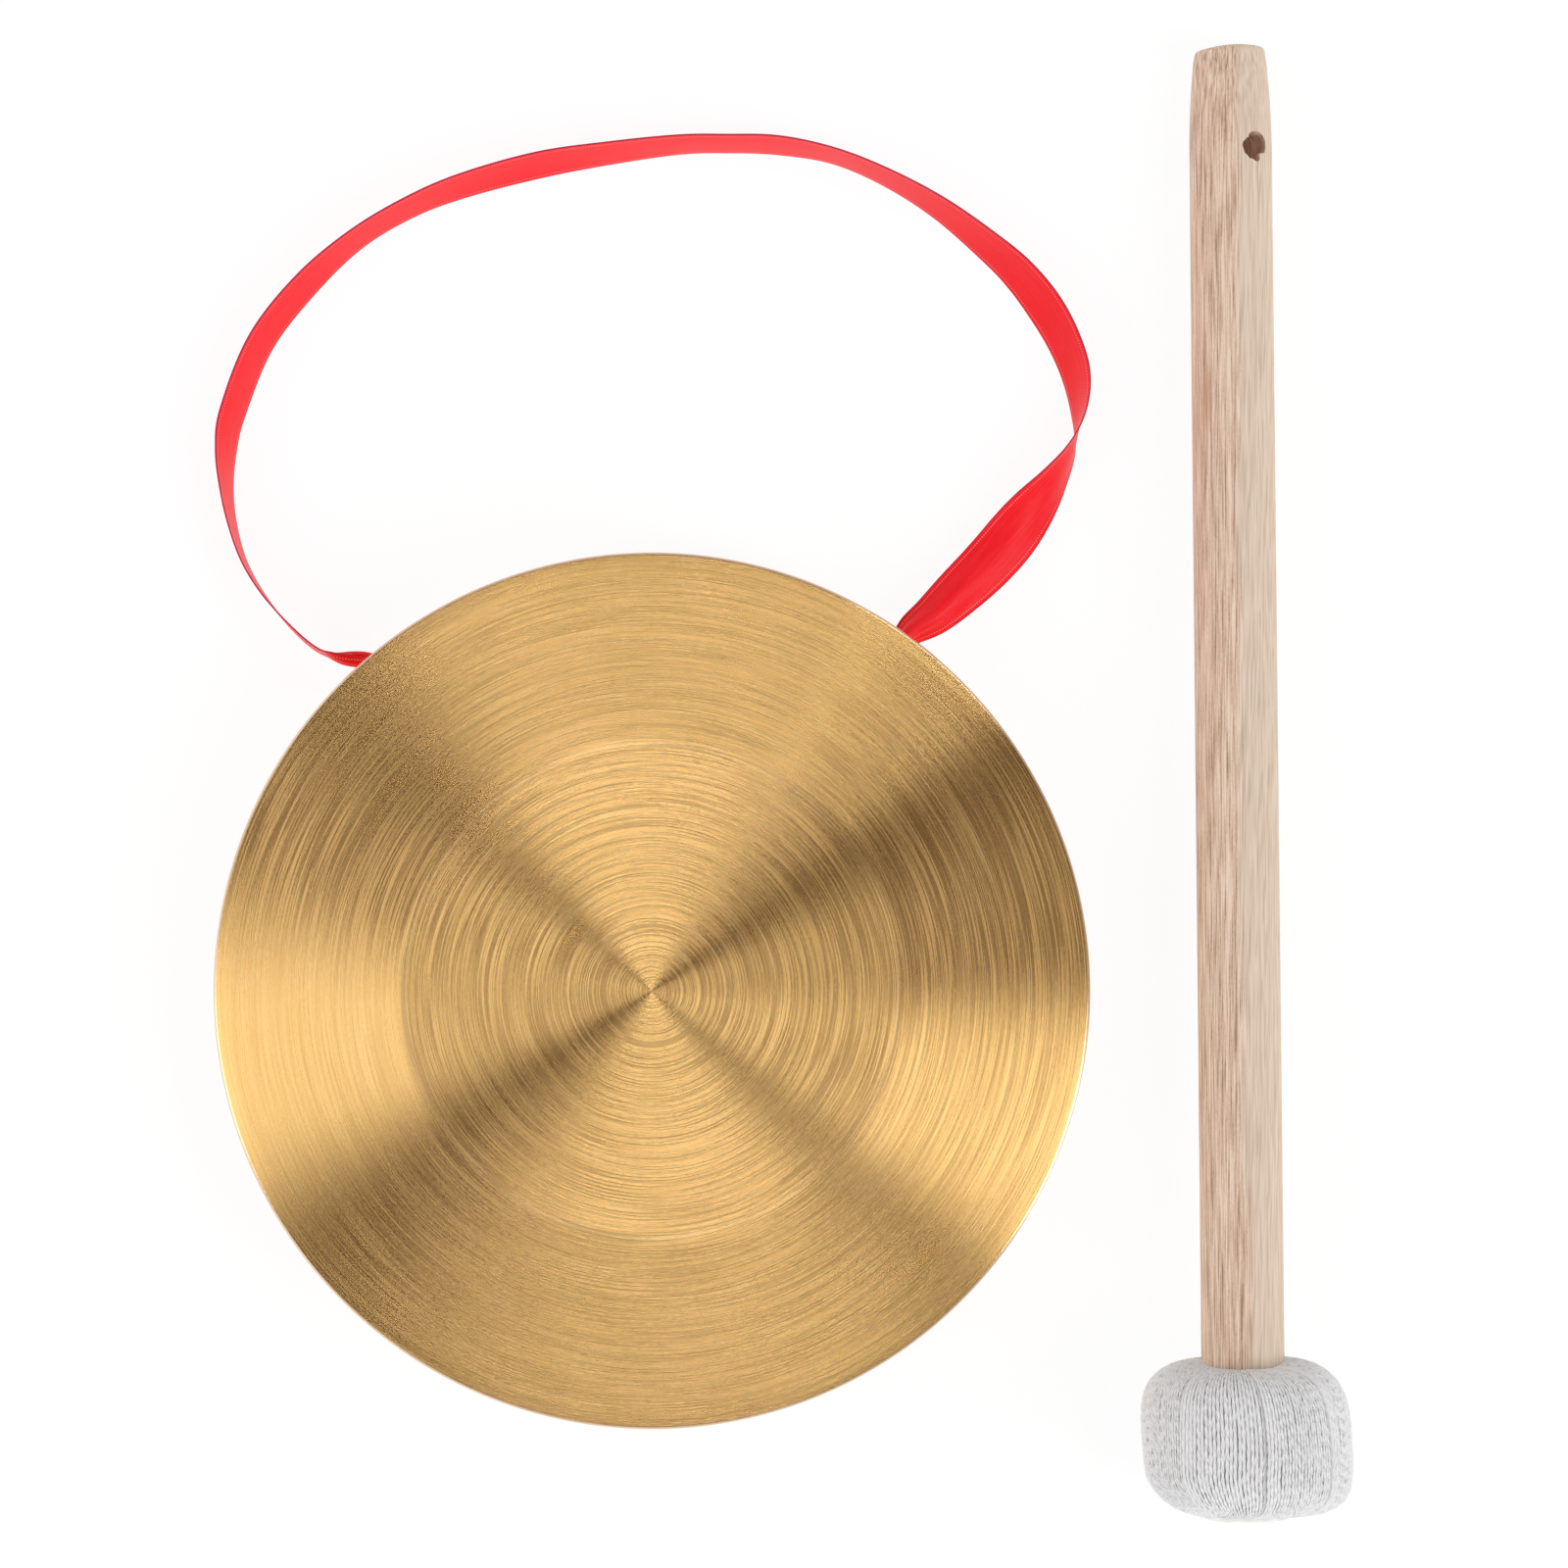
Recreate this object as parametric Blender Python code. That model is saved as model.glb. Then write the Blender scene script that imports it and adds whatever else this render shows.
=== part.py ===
"""Hand gong with a ribbon hanging loop, and its yarn-headed mallet.

The set lies on a table: the gong face up on the lip of its rim, the ribbon loop laid out behind it,
and the mallet beside it, resting on its head and on the end of its grip. Metres, +Z up, with the origin
on the table in the middle of the gong and the mallet.
"""

import math

import bmesh
import bpy
from mathutils import Matrix, Vector

MM = 0.001

# Gong
GONG_RADIUS = 77.5 * MM
GONG_HEIGHT = 22.0 * MM
BRASS = 1.0 * MM
FLAT_RADIUS = 41.0 * MM
CREASE_WIDTH = 7.0 * MM
FACE_SLOPE = math.radians(4.0)
EDGE_BEND = 2.5 * MM
RIM_SLOPE = math.radians(6.0)
GONG_SEGMENTS = 96

# Rim holes for the ribbon, half way up the wall, with their angles from +Y
HOLE_DIAMETER = 5.0 * MM
HOLE_HALF_ANGLE = math.radians(38.0)
HOLE_TURN = math.radians(1.9)

# Ribbon
RIBBON_WIDTH = 10.0 * MM
RIBBON_THICKNESS = 0.6 * MM
NECK_CLEARANCE = 0.5 * MM
NECK_PROUD = 0.5 * MM
GATHER_LENGTH = 11.0 * MM
RIBBON_STEP = 4.2 * MM

# Stopper knots inside the rim
KNOT_SIDE_HOLD = 2.0 * MM
KNOT_UPPER_HOLD = 1.5 * MM
KNOT_DEPTH = 7.0 * MM
WRAP_THICKNESS = 2.6 * MM
WRAP_TILT = math.radians(35.0)
TAIL_LENGTH = 12.0 * MM
TAIL_WIDTH = 5.0 * MM
TAIL_THICKNESS = 1.2 * MM
TAIL_LIFT = 2.2 * MM
TAIL_FOLLOW = math.radians(14.0)

# Mallet
MALLET_LENGTH = 262.6 * MM
HANDLE_DIAMETER = 14.7 * MM
GRIP_TAPER_LENGTH = 19.0 * MM
GRIP_NARROWING = 1.3 * MM
GRIP_END_ROUND = 1.8 * MM
GRIP_CROWN = 0.6 * MM
HANG_HOLE_DIAMETER = 4.8 * MM
HANG_HOLE_FROM_END = 17.8 * MM
HANG_HOLE_TURN = math.radians(34.4)
HEAD_DIAMETER = 37.7 * MM
HEAD_BELLY = 14.3 * MM
HEAD_TOP = 29.6 * MM
HEAD_LOBES = 8
LOBE_DEPTH = 0.5 * MM
YARN_SIDE = 5.85 * MM
YARN_END = 4.3 * MM
CORE_EDGE = 4.0 * MM
SEAL_THICKNESS = 2.5 * MM
SEAL_CROWN = 0.6 * MM
MALLET_SEGMENTS = 48
INNER_SEGMENTS = 32

# The set on the table
SET_GAP = 8.4 * MM
HEAD_BEHIND_GONG = 16.6 * MM
MALLET_TURN = math.radians(0.43)
CLEARANCE = 0.3 * MM

# The loop from the right hole round to the left one: x and y from the gong's centre in millimetres,
# the lean of the ribbon out of upright in degrees, outward positive, and the lift of its lower edge.
ROUTE = [
    (51.0, 66.9, -82.0, 7.6),
    (55.1, 71.3, -86.0, 6.6),
    (59.2, 75.5, -88.0, 5.6),
    (63.4, 80.0, -80.0, 4.2),
    (67.5, 85.0, -58.0, 2.2),
    (71.5, 90.5, -32.0, 0.7),
    (74.8, 96.5, -10.0, 0.1),
    (76.1, 103.0, 13.0, 0.0),
    (75.6, 109.6, 28.0, 0.0),
    (73.3, 115.9, 34.0, 0.0),
    (70.0, 121.7, 37.0, 0.0),
    (65.9, 127.0, 34.0, 0.0),
    (61.2, 131.5, 29.0, 0.0),
    (51.7, 139.0, 20.0, 0.0),
    (42.0, 144.7, 14.0, 0.0),
    (32.3, 148.7, 12.0, 0.0),
    (22.4, 150.6, 15.0, 0.0),
    (13.0, 150.9, 14.5, 0.0),
    (4.4, 150.7, 15.5, 0.0),
    (-7.9, 149.2, 19.0, 0.0),
    (-20.4, 147.1, 23.0, 0.0),
    (-33.7, 143.5, 21.0, 0.0),
    (-43.4, 139.6, 17.5, 0.0),
    (-53.1, 133.8, 17.5, 0.0),
    (-62.1, 125.7, 23.0, 0.0),
    (-70.1, 115.4, 24.0, 0.0),
    (-75.1, 103.0, 23.0, 0.0),
    (-76.3, 96.3, 18.0, 0.0),
    (-76.2, 89.5, 10.0, 0.0),
    (-75.1, 82.8, 5.0, 0.1),
    (-73.0, 76.3, 2.0, 0.5),
    (-69.6, 70.5, 0.0, 1.3),
    (-65.3, 65.1, -3.0, 2.5),
    (-60.2, 61.2, -14.0, 4.4),
]
EXIT_LEAN = -88.0


def clear_scene() -> None:
    """Removes the objects of the scene that the script starts in."""
    for old in list(bpy.data.objects):
        bpy.data.objects.remove(old)


def finish(name: str, colour: tuple, roughness: float, metallic: float = 0.0) -> bpy.types.Material:
    """A plain material of one colour."""
    made = bpy.data.materials.new(name)
    made.use_nodes = True
    shader = made.node_tree.nodes["Principled BSDF"]
    shader.inputs["Base Color"].default_value = (*colour, 1.0)
    shader.inputs["Roughness"].default_value = roughness
    shader.inputs["Metallic"].default_value = metallic
    return made


def empty(name: str, place: Matrix, parent: bpy.types.Object = None) -> bpy.types.Object:
    """An empty that carries pieces, at a place in its parent's frame."""
    made = bpy.data.objects.new(name, None)
    bpy.context.collection.objects.link(made)
    made.parent = parent
    made.matrix_local = place
    return made


def piece(name: str, mesh: bmesh.types.BMesh, parent: bpy.types.Object, material=None) -> bpy.types.Object:
    """Makes an object of the mesh, in its parent's frame, shaded smooth with its sharp edges kept."""
    bmesh.ops.remove_doubles(mesh, verts=mesh.verts, dist=0.0001 * MM)
    bmesh.ops.recalc_face_normals(mesh, faces=mesh.faces)
    data = bpy.data.meshes.new(name)
    mesh.to_mesh(data)
    mesh.free()
    data.shade_smooth()
    data.set_sharp_from_angle(angle=math.radians(35.0))
    made = bpy.data.objects.new(name, data)
    bpy.context.collection.objects.link(made)
    made.parent = parent
    if material:
        data.materials.append(material)
    return made


def turned(outline: list, segments: int) -> bmesh.types.BMesh:
    """Spins an outline of (radius, height) points about Z.

    An outline that starts and ends on the axis is left open there; any other is closed to a ring.
    """
    mesh = bmesh.new()
    verts = [mesh.verts.new((radius, 0.0, height)) for radius, height in outline]
    edges = [mesh.edges.new(pair) for pair in zip(verts, verts[1:])]
    if outline[0][0] > 0.0:
        edges.append(mesh.edges.new((verts[-1], verts[0])))
    bmesh.ops.spin(
        mesh,
        geom=verts + edges,
        axis=(0.0, 0.0, 1.0),
        cent=(0.0, 0.0, 0.0),
        steps=segments,
        angle=math.tau,
        use_merge=True,
    )
    return mesh


def arc(centre: tuple, radius: float, start: float, end: float, steps: int) -> list:
    """Points on a circle from one angle to another, both ends included."""
    angles = [start + (end - start) * step / steps for step in range(steps + 1)]
    return [(centre[0] + radius * math.cos(a), centre[1] + radius * math.sin(a)) for a in angles]


def helper(name: str, mesh: bmesh.types.BMesh, parent: bpy.types.Object) -> bpy.types.Object:
    """A solid that only shapes another one, and is hidden itself."""
    made = piece(name, mesh, parent)
    made.hide_render = True
    made.display_type = "WIRE"
    return made


def shape_with(target: bpy.types.Object, other: bpy.types.Object, operation: str) -> None:
    """Cuts the other solid out of the target, or joins it on."""
    change = target.modifiers.new(other.name, "BOOLEAN")
    change.operation = operation
    change.solver = "EXACT"
    change.object = other


def rod(radius: float, low: float, high: float, segments: int) -> bmesh.types.BMesh:
    """A round rod along Z between two heights."""
    return turned([(0.0, high), (radius, high), (radius, low), (0.0, low)], segments)


def aimed(point: Vector, direction: Vector, up: Vector = Vector((0.0, 0.0, 1.0))) -> Matrix:
    """The frame at a point whose Z runs along the direction, with its Y towards up."""
    along = direction.normalized()
    side = up.cross(along).normalized()
    top = along.cross(side)
    return Matrix.Translation(point) @ Matrix((side, top, along)).transposed().to_4x4()


class Gong:
    """The spun brass bowl, standing on its lip, face up. Heights are from the table."""

    def __init__(self, parent: bpy.types.Object) -> None:
        """Works out the bend of the edge and the line of the rim's wall."""
        self.parent = parent
        self.bend_at_radius = GONG_RADIUS - EDGE_BEND
        crease = FLAT_RADIUS + CREASE_WIDTH / 2.0
        run = self.bend_at_radius + EDGE_BEND * math.sin(FACE_SLOPE) - crease
        fall = run * math.tan(FACE_SLOPE)
        self.bend_at_height = GONG_HEIGHT - fall - EDGE_BEND * math.cos(FACE_SLOPE)
        self.hole_height = self.bend_at_height / 2.0

    def wall_radius(self, height: float) -> float:
        """The outer radius of the rim's wall at a height under the bend."""
        end = self.bend_at_radius + EDGE_BEND * math.cos(RIM_SLOPE)
        drop = self.bend_at_height - EDGE_BEND * math.sin(RIM_SLOPE) - height
        return end - drop * math.tan(RIM_SLOPE)

    def surface(self, depth: float) -> list:
        """The outline of the sheet's skin at a depth under its outer face, from the axis to the lip."""
        blend = CREASE_WIDTH / math.sin(FACE_SLOPE)
        crease = (FLAT_RADIUS, GONG_HEIGHT - blend)
        bend = (self.bend_at_radius, self.bend_at_height)
        quarter = math.pi / 2.0
        points = [(0.0, GONG_HEIGHT - depth)]
        points += arc(crease, blend - depth, quarter, quarter - FACE_SLOPE, 3)
        points += arc(bend, EDGE_BEND - depth, quarter - FACE_SLOPE, -RIM_SLOPE, 6)
        points.append((self.wall_radius(0.0) - depth / math.cos(RIM_SLOPE), 0.0))
        return points

    def hole_frame(self, angle: float) -> Matrix:
        """The frame at a rim hole, on the wall's outer face, with its Z pointing out of the gong."""
        outward = Vector((math.sin(angle), math.cos(angle), 0.0))
        place = outward * self.wall_radius(self.hole_height)
        place.z = self.hole_height
        return aimed(place, outward)

    def build(self, brass: bpy.types.Material) -> None:
        """Makes the bowl and drills its two rim holes."""
        outline = self.surface(0.0) + self.surface(BRASS)[::-1]
        bowl = piece("gong_bowl", turned(outline, GONG_SEGMENTS), self.parent, brass)
        for side, angle in hole_angles().items():
            drill_length = 6.0 * BRASS
            drill = rod(HOLE_DIAMETER / 2.0, -drill_length / 2.0, drill_length / 2.0, 24)
            cutter = helper("rim_drill_" + side, drill, self.parent)
            cutter.matrix_local = self.hole_frame(angle)
            shape_with(bowl, cutter, "DIFFERENCE")


def hole_angles() -> dict:
    """Where the rim holes are, clockwise from +Y as seen from above."""
    return {"left": -HOLE_TURN - HOLE_HALF_ANGLE, "right": -HOLE_TURN + HOLE_HALF_ANGLE}


def neck_radius() -> float:
    """The radius of the ribbon where it is gathered to pass a hole."""
    return HOLE_DIAMETER / 2.0 - NECK_CLEARANCE


class Knot:
    """A stopper knot of the ribbon inside the rim, with its neck through the hole and its cut tail."""

    def __init__(self, gong: Gong, side: str) -> None:
        """Takes the side of the gong that the knot is on."""
        self.side = side
        self.name = "ribbon_knot_" + side
        self.gong = gong
        self.frame = gong.hole_frame(hole_angles()[side])
        self.width = HOLE_DIAMETER + 2.0 * KNOT_SIDE_HOLD
        self.height = HOLE_DIAMETER + 2.0 * KNOT_UPPER_HOLD
        self.wrap_radius = (self.height - WRAP_THICKNESS) / 2.0
        lean, level = math.sin(RIM_SLOPE), math.cos(RIM_SLOPE)
        body_reach = math.hypot(self.height / 2.0 * lean, KNOT_DEPTH / 2.0 * level)
        wrap_reach = self.wrap_radius * math.hypot(lean, level * math.cos(WRAP_TILT)) + WRAP_THICKNESS / 2.0
        self.middle = -(BRASS + CLEARANCE + max(body_reach, wrap_reach)) / level

    def lump(self) -> bmesh.types.BMesh:
        """The body of the knot, an egg pressed against the wall."""
        mesh = bmesh.new()
        bmesh.ops.create_uvsphere(mesh, u_segments=20, v_segments=12, radius=0.5)
        bmesh.ops.scale(mesh, vec=(self.width, self.height, KNOT_DEPTH), verts=mesh.verts)
        return mesh

    def wrap(self) -> bmesh.types.BMesh:
        """The turn of ribbon that crosses over the body of the knot."""
        section = arc((self.wrap_radius, 0.0), WRAP_THICKNESS / 2.0, 0.0, math.tau, 10)[:-1]
        mesh = turned(section, 20)
        bmesh.ops.rotate(mesh, matrix=Matrix.Rotation(math.pi / 2.0, 3, "Y"), verts=mesh.verts)
        bmesh.ops.rotate(mesh, matrix=Matrix.Rotation(WRAP_TILT, 3, "Y"), verts=mesh.verts)
        return mesh

    def tail(self) -> bmesh.types.BMesh:
        """The cut end, which runs on along the wall towards the other knot."""
        mesh = bmesh.new()
        bmesh.ops.create_cube(mesh, size=1.0)
        bmesh.ops.scale(mesh, vec=(TAIL_LENGTH, TAIL_WIDTH, TAIL_THICKNESS), verts=mesh.verts)
        way = -1.0 if self.side == "left" else 1.0
        bmesh.ops.translate(mesh, vec=(way * TAIL_LENGTH / 2.0, 0.0, 0.0), verts=mesh.verts)
        drop = self.gong.hole_height - TAIL_WIDTH / 2.0 - TAIL_LIFT
        droop = Matrix.Rotation(-way * math.atan2(drop, TAIL_LENGTH), 3, "Z")
        follow = Matrix.Rotation(way * TAIL_FOLLOW, 3, "Y")
        bmesh.ops.rotate(mesh, matrix=follow @ droop, verts=mesh.verts)
        return mesh

    def build(self, satin: bpy.types.Material) -> None:
        """Joins the neck, the body, the wrap and the tail into one solid."""
        parent = self.gong.parent
        neck = rod(neck_radius(), self.middle, NECK_PROUD, 20)
        knot = piece(self.name, neck, parent, satin)
        knot.matrix_local = self.frame
        for part, mesh in (("body", self.lump()), ("wrap", self.wrap()), ("tail", self.tail())):
            other = helper(self.name + "_" + part, mesh, parent)
            other.matrix_local = self.frame @ Matrix.Translation((0.0, 0.0, self.middle))
            shape_with(knot, other, "UNION")


class Loop:
    """The ribbon between the two rim holes, laid on the table, in the gong's frame."""

    def __init__(self, gong: Gong) -> None:
        """Works out the two points that the loop swings about."""
        self.gong = gong
        self.root_radius = neck_radius()
        reach = gong.wall_radius(gong.hole_height) + NECK_PROUD + CLEARANCE + self.root_radius
        self.pivots = {
            side: Vector((math.sin(angle) * reach, math.cos(angle) * reach, gong.hole_height))
            for side, angle in hole_angles().items()
        }

    def hinge_frame(self) -> Matrix:
        """The frame midway between the pivots, with its X along the line through both."""
        left, right = self.pivots["left"], self.pivots["right"]
        along = (right - left).normalized()
        up = Vector((0.0, 0.0, 1.0))
        turn = Matrix((along, up.cross(along), up)).transposed().to_4x4()
        return Matrix.Translation((left + right) / 2.0) @ turn

    def route(self) -> list:
        """The route with its exits: each point as (place, lean, lift), in metres and radians."""
        points = [(Vector((x * MM, y * MM)), math.radians(lean), lift * MM) for x, y, lean, lift in ROUTE]
        level = self.gong.hole_height - rest_height(math.radians(EXIT_LEAN))
        ends = []
        for side, nearest in (("right", points[0][0]), ("left", points[-1][0])):
            pivot = self.pivots[side].xy
            tip = pivot - (nearest - pivot).normalized() * self.root_radius
            ends.append([(tip, math.radians(EXIT_LEAN), level), (pivot, math.radians(EXIT_LEAN), level)])
        return ends[0] + points + ends[1][::-1]

    def build(self, satin: bpy.types.Material, hinge: bpy.types.Object) -> None:
        """Draws the flat ribbon as a curve with a tilt and a width at each of its points."""
        stations = even_stations(self.route(), RIBBON_STEP, self.root_radius)
        length = stations[-1][0]
        curve = bpy.data.curves.new("ribbon_loop", "CURVE")
        curve.dimensions = "3D"
        curve.twist_mode = "Z_UP"
        curve.use_fill_caps = True
        curve.bevel_resolution = 2
        curve.bevel_depth = RIBBON_THICKNESS / 2.0
        curve.extrude = (RIBBON_WIDTH - RIBBON_THICKNESS) / 2.0
        line = curve.splines.new("POLY")
        line.points.add(len(stations) - 1)
        for point, (distance, place, lean, lift) in zip(line.points, stations):
            share = self.half_width(min(distance, length - distance)) / (RIBBON_WIDTH / 2.0)
            point.co = (place.x, place.y, lift + rest_height(lean), 1.0)
            point.tilt = lean
            point.radius = share
        curve.materials.append(satin)
        made = bpy.data.objects.new("ribbon_loop", curve)
        bpy.context.collection.objects.link(made)
        made.parent = hinge
        made.matrix_local = self.hinge_frame().inverted()

    def half_width(self, distance: float) -> float:
        """Half the ribbon's width at a distance from its nearer end: a round root, then the gather."""
        root = self.root_radius
        if distance < root:
            return max(math.sqrt(root**2 - (root - distance) ** 2), 0.2 * root)
        share = min((distance - root) / GATHER_LENGTH, 1.0)
        eased = share * share * (3.0 - 2.0 * share)
        return root + (RIBBON_WIDTH / 2.0 - root) * eased


def rest_height(lean: float) -> float:
    """How high the ribbon's middle is when its lower edge touches the table."""
    return (RIBBON_WIDTH - RIBBON_THICKNESS) / 2.0 * abs(math.cos(lean)) + RIBBON_THICKNESS / 2.0


def through(before, start, end, after, share: float):
    """A point between start and end, on the smooth curve that also passes its neighbours."""
    bend = 2.0 * before - 5.0 * start + 4.0 * end - after
    twist = 3.0 * (start - end) + after - before
    return start + 0.5 * share * (end - before + share * (bend + share * twist))


def even_stations(route: list, step: float, root: float) -> list:
    """Stations along the smooth curve through a route: (distance, place, lean, lift).

    They lie a step apart, and closer over the rounded root at each end.
    """
    fine = 24
    dense = []
    held = [route[0], *route, route[-1]]
    for near in zip(held, held[1:], held[2:], held[3:]):
        for part in range(fine):
            dense.append([through(*channel, part / fine) for channel in zip(*near)])
    dense.append(list(route[-1]))
    distances = [0.0]
    for one, other in zip(dense, dense[1:]):
        distances.append(distances[-1] + (other[0] - one[0]).length)
    length = distances[-1]
    count = round((length - 2.0 * root) / step)
    wanted = [0.0, 0.15 * root, 0.5 * root]
    wanted += [root + (length - 2.0 * root) * index / count for index in range(count + 1)]
    wanted += [length - 0.5 * root, length - 0.15 * root, length]
    stations = []
    index = 0
    for distance in wanted:
        while index < len(distances) - 2 and distances[index + 1] < distance:
            index += 1
        share = (distance - distances[index]) / (distances[index + 1] - distances[index])
        mixed = [one + (other - one) * share for one, other in zip(dense[index], dense[index + 1])]
        stations.append((distance, *mixed))
    return stations


class Mallet:
    """The wooden handle with its bored core, yarn winding and glue seal.

    Its own frame has Z along the handle, from the foot of the head to the end of the grip. When the
    mallet lies down, Y points up and X points to the gong.
    """

    def __init__(self) -> None:
        """Works out the fits of the pieces on the handle."""
        self.handle_radius = HANDLE_DIAMETER / 2.0
        self.bore = self.handle_radius + CLEARANCE
        self.handle_foot = SEAL_THICKNESS + 2.0 * CLEARANCE
        self.core_radius = HEAD_DIAMETER / 2.0 - YARN_SIDE
        self.core_low = YARN_END
        self.core_high = HEAD_TOP - YARN_END

    def handle_outline(self) -> list:
        """The dowel: straight, then narrowing to a rounded end with a slight crown."""
        top = MALLET_LENGTH - GRIP_CROWN
        points = [(0.0, MALLET_LENGTH)]
        flat = self.handle_radius - GRIP_NARROWING - GRIP_END_ROUND
        points.append((flat / 2.0, top + GRIP_CROWN * 0.75))
        points += arc((flat, top - GRIP_END_ROUND), GRIP_END_ROUND, math.pi / 2.0, math.radians(8.0), 4)
        for part in range(1, 7):
            depth = GRIP_END_ROUND + (GRIP_TAPER_LENGTH - GRIP_END_ROUND) * part / 6.0
            share = 1.0 - depth / GRIP_TAPER_LENGTH
            points.append((self.handle_radius - GRIP_NARROWING * share**2, top - depth))
        points += [(self.handle_radius, self.handle_foot), (0.0, self.handle_foot)]
        return points

    def head_outline(self) -> list:
        """The outside of the winding, from its upper mouth round the belly to its lower one."""
        belly = HEAD_DIAMETER / 2.0
        points = []
        for height, power, start, end in (
            (HEAD_TOP - HEAD_BELLY, 3.0, 1.0, 0.0),
            (-HEAD_BELLY, 2.5, 0.0, 1.0),
        ):
            mouth = math.asin(min(self.bore / belly, 1.0) ** (power / 2.0))
            for part in range(8 if start else 9):
                share = start + (end - start) * part / 8.0
                angle = mouth * share + math.pi / 2.0 * (1.0 - share)
                radius = belly * math.sin(angle) ** (2.0 / power)
                points.append((radius, HEAD_BELLY + height * math.cos(angle) ** (2.0 / power)))
        return points

    def core_outline(self, grown: float) -> list:
        """The bored core, or the room for it in the winding when grown by a clearance."""
        edge = CORE_EDGE + grown
        across = self.core_radius - CORE_EDGE
        high, low = self.core_high - CORE_EDGE, self.core_low + CORE_EDGE
        points = [(self.bore, high + edge)]
        points += arc((across, high), edge, math.pi / 2.0, 0.0, 4)
        points += arc((across, low), edge, 0.0, -math.pi / 2.0, 4)
        points.append((self.bore, low - edge))
        return points

    def seal_outline(self) -> list:
        """The domed dab of glue that closes the lower mouth of the head."""
        radius = self.handle_radius
        inner = self.handle_foot - CLEARANCE
        rim = inner - SEAL_THICKNESS + SEAL_CROWN
        points = [(0.0, inner), (radius, inner), (radius, rim)]
        points += [(radius * 0.55, rim - SEAL_CROWN * 0.7), (0.0, rim - SEAL_CROWN)]
        return points

    def build(self, parent: bpy.types.Object, finishes: dict) -> None:
        """Makes the four pieces in the mallet's frame."""
        dowel = turned(self.handle_outline(), MALLET_SEGMENTS)
        handle = piece("mallet_handle", dowel, parent, finishes["wood"])
        drill = rod(HANG_HOLE_DIAMETER / 2.0, -HANDLE_DIAMETER, HANDLE_DIAMETER, 24)
        cutter = helper("hang_drill", drill, parent)
        across = Vector((-math.sin(HANG_HOLE_TURN), math.cos(HANG_HOLE_TURN), 0.0))
        cutter.matrix_local = aimed(Vector((0.0, 0.0, MALLET_LENGTH - HANG_HOLE_FROM_END)), across)
        shape_with(handle, cutter, "DIFFERENCE")
        piece("mallet_core", turned(self.core_outline(0.0), INNER_SEGMENTS), parent, finishes["core"])
        winding = turned(self.head_outline() + self.core_outline(CLEARANCE)[::-1], MALLET_SEGMENTS)
        self.raise_lobes(winding)
        piece("mallet_winding", winding, parent, finishes["yarn"])
        piece("head_end_seal", turned(self.seal_outline(), INNER_SEGMENTS), parent, finishes["glue"])

    def raise_lobes(self, winding: bmesh.types.BMesh) -> None:
        """Sinks the outside of the winding between its bundles of yarn, most at the belly."""
        belly = HEAD_DIAMETER / 2.0
        inside = self.core_radius + CLEARANCE
        for vert in winding.verts:
            radius = vert.co.xy.length
            if radius <= inside + CLEARANCE:
                continue
            turn = math.atan2(vert.co.x, vert.co.y)
            valley = (1.0 - math.cos(HEAD_LOBES * turn)) / 2.0
            sink = LOBE_DEPTH * valley * (radius - inside) / (belly - inside)
            vert.co.xy *= 1.0 - sink / radius

    def lowest(self, outline: list, pitch: float) -> float:
        """How far an outline reaches under the foot of the axis when the grip end is pitched down."""
        return max(radius * math.cos(pitch) + height * math.sin(pitch) for radius, height in outline)

    def pitch(self) -> float:
        """The slope of the lying mallet, at which its head and its grip both touch the table."""
        low, high = 0.0, math.radians(20.0)
        for _ in range(50):
            middle = (low + high) / 2.0
            head_lower = self.lowest(self.head_outline(), middle) > self.lowest(self.handle_outline(), middle)
            low, high = (middle, high) if head_lower else (low, middle)
        return (low + high) / 2.0

    def frame(self, foot: Vector) -> Matrix:
        """The frame of the lying mallet, with the foot of its head over a point of the table."""
        slope = self.pitch()
        rise = self.lowest(self.head_outline(), slope)
        along = Vector((-math.sin(MALLET_TURN), math.cos(MALLET_TURN), -math.tan(slope)))
        return aimed(Vector((foot.x, foot.y, rise)), along)


def main() -> None:
    """Lays out the set and builds its pieces."""
    clear_scene()
    brass = finish("brass", (0.60, 0.42, 0.20), 0.35, 1.0)
    satin = finish("satin", (0.85, 0.02, 0.03), 0.4)
    finishes = {
        "wood": finish("wood", (0.62, 0.46, 0.34), 0.6),
        "core": finish("core", (0.45, 0.33, 0.22), 0.7),
        "yarn": finish("yarn", (0.72, 0.72, 0.70), 0.9),
        "glue": finish("glue", (0.80, 0.80, 0.76), 0.3),
    }
    mallet = Mallet()
    half_length = MALLET_LENGTH * math.cos(mallet.pitch()) / 2.0
    half_width = GONG_RADIUS + (SET_GAP + HEAD_DIAMETER) / 2.0
    gong_at = Vector((GONG_RADIUS - half_width, GONG_RADIUS + HEAD_BEHIND_GONG - half_length, 0.0))
    head_at = Vector((half_width - HEAD_DIAMETER / 2.0, -half_length, 0.0))

    gong_centre = empty("gong_centre", Matrix.Translation(gong_at))
    gong = Gong(gong_centre)
    gong.build(brass)
    for side in hole_angles():
        Knot(gong, side).build(satin)
    loop = Loop(gong)
    hinge = empty("ribbon_hinge", loop.hinge_frame(), gong_centre)
    loop.build(satin, hinge)
    mallet.build(empty("mallet_axis", mallet.frame(head_at)), finishes)


main()
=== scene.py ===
"""The hand gong, its ribbon loop and its yarn-headed mallet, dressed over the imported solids.

The set lies on a pale studio floor and is seen from straight above. Metres, +Z up, in the CAD's frame.
"""

import logging
from collections.abc import Callable
from dataclasses import dataclass, field
from enum import Enum
from math import asin, atan2, cos, degrees, exp, pi, radians, sin, sqrt, tan, tau
from typing import Any, Union

import bmesh
import bpy
from mathutils import Matrix, Vector, noise


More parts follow.
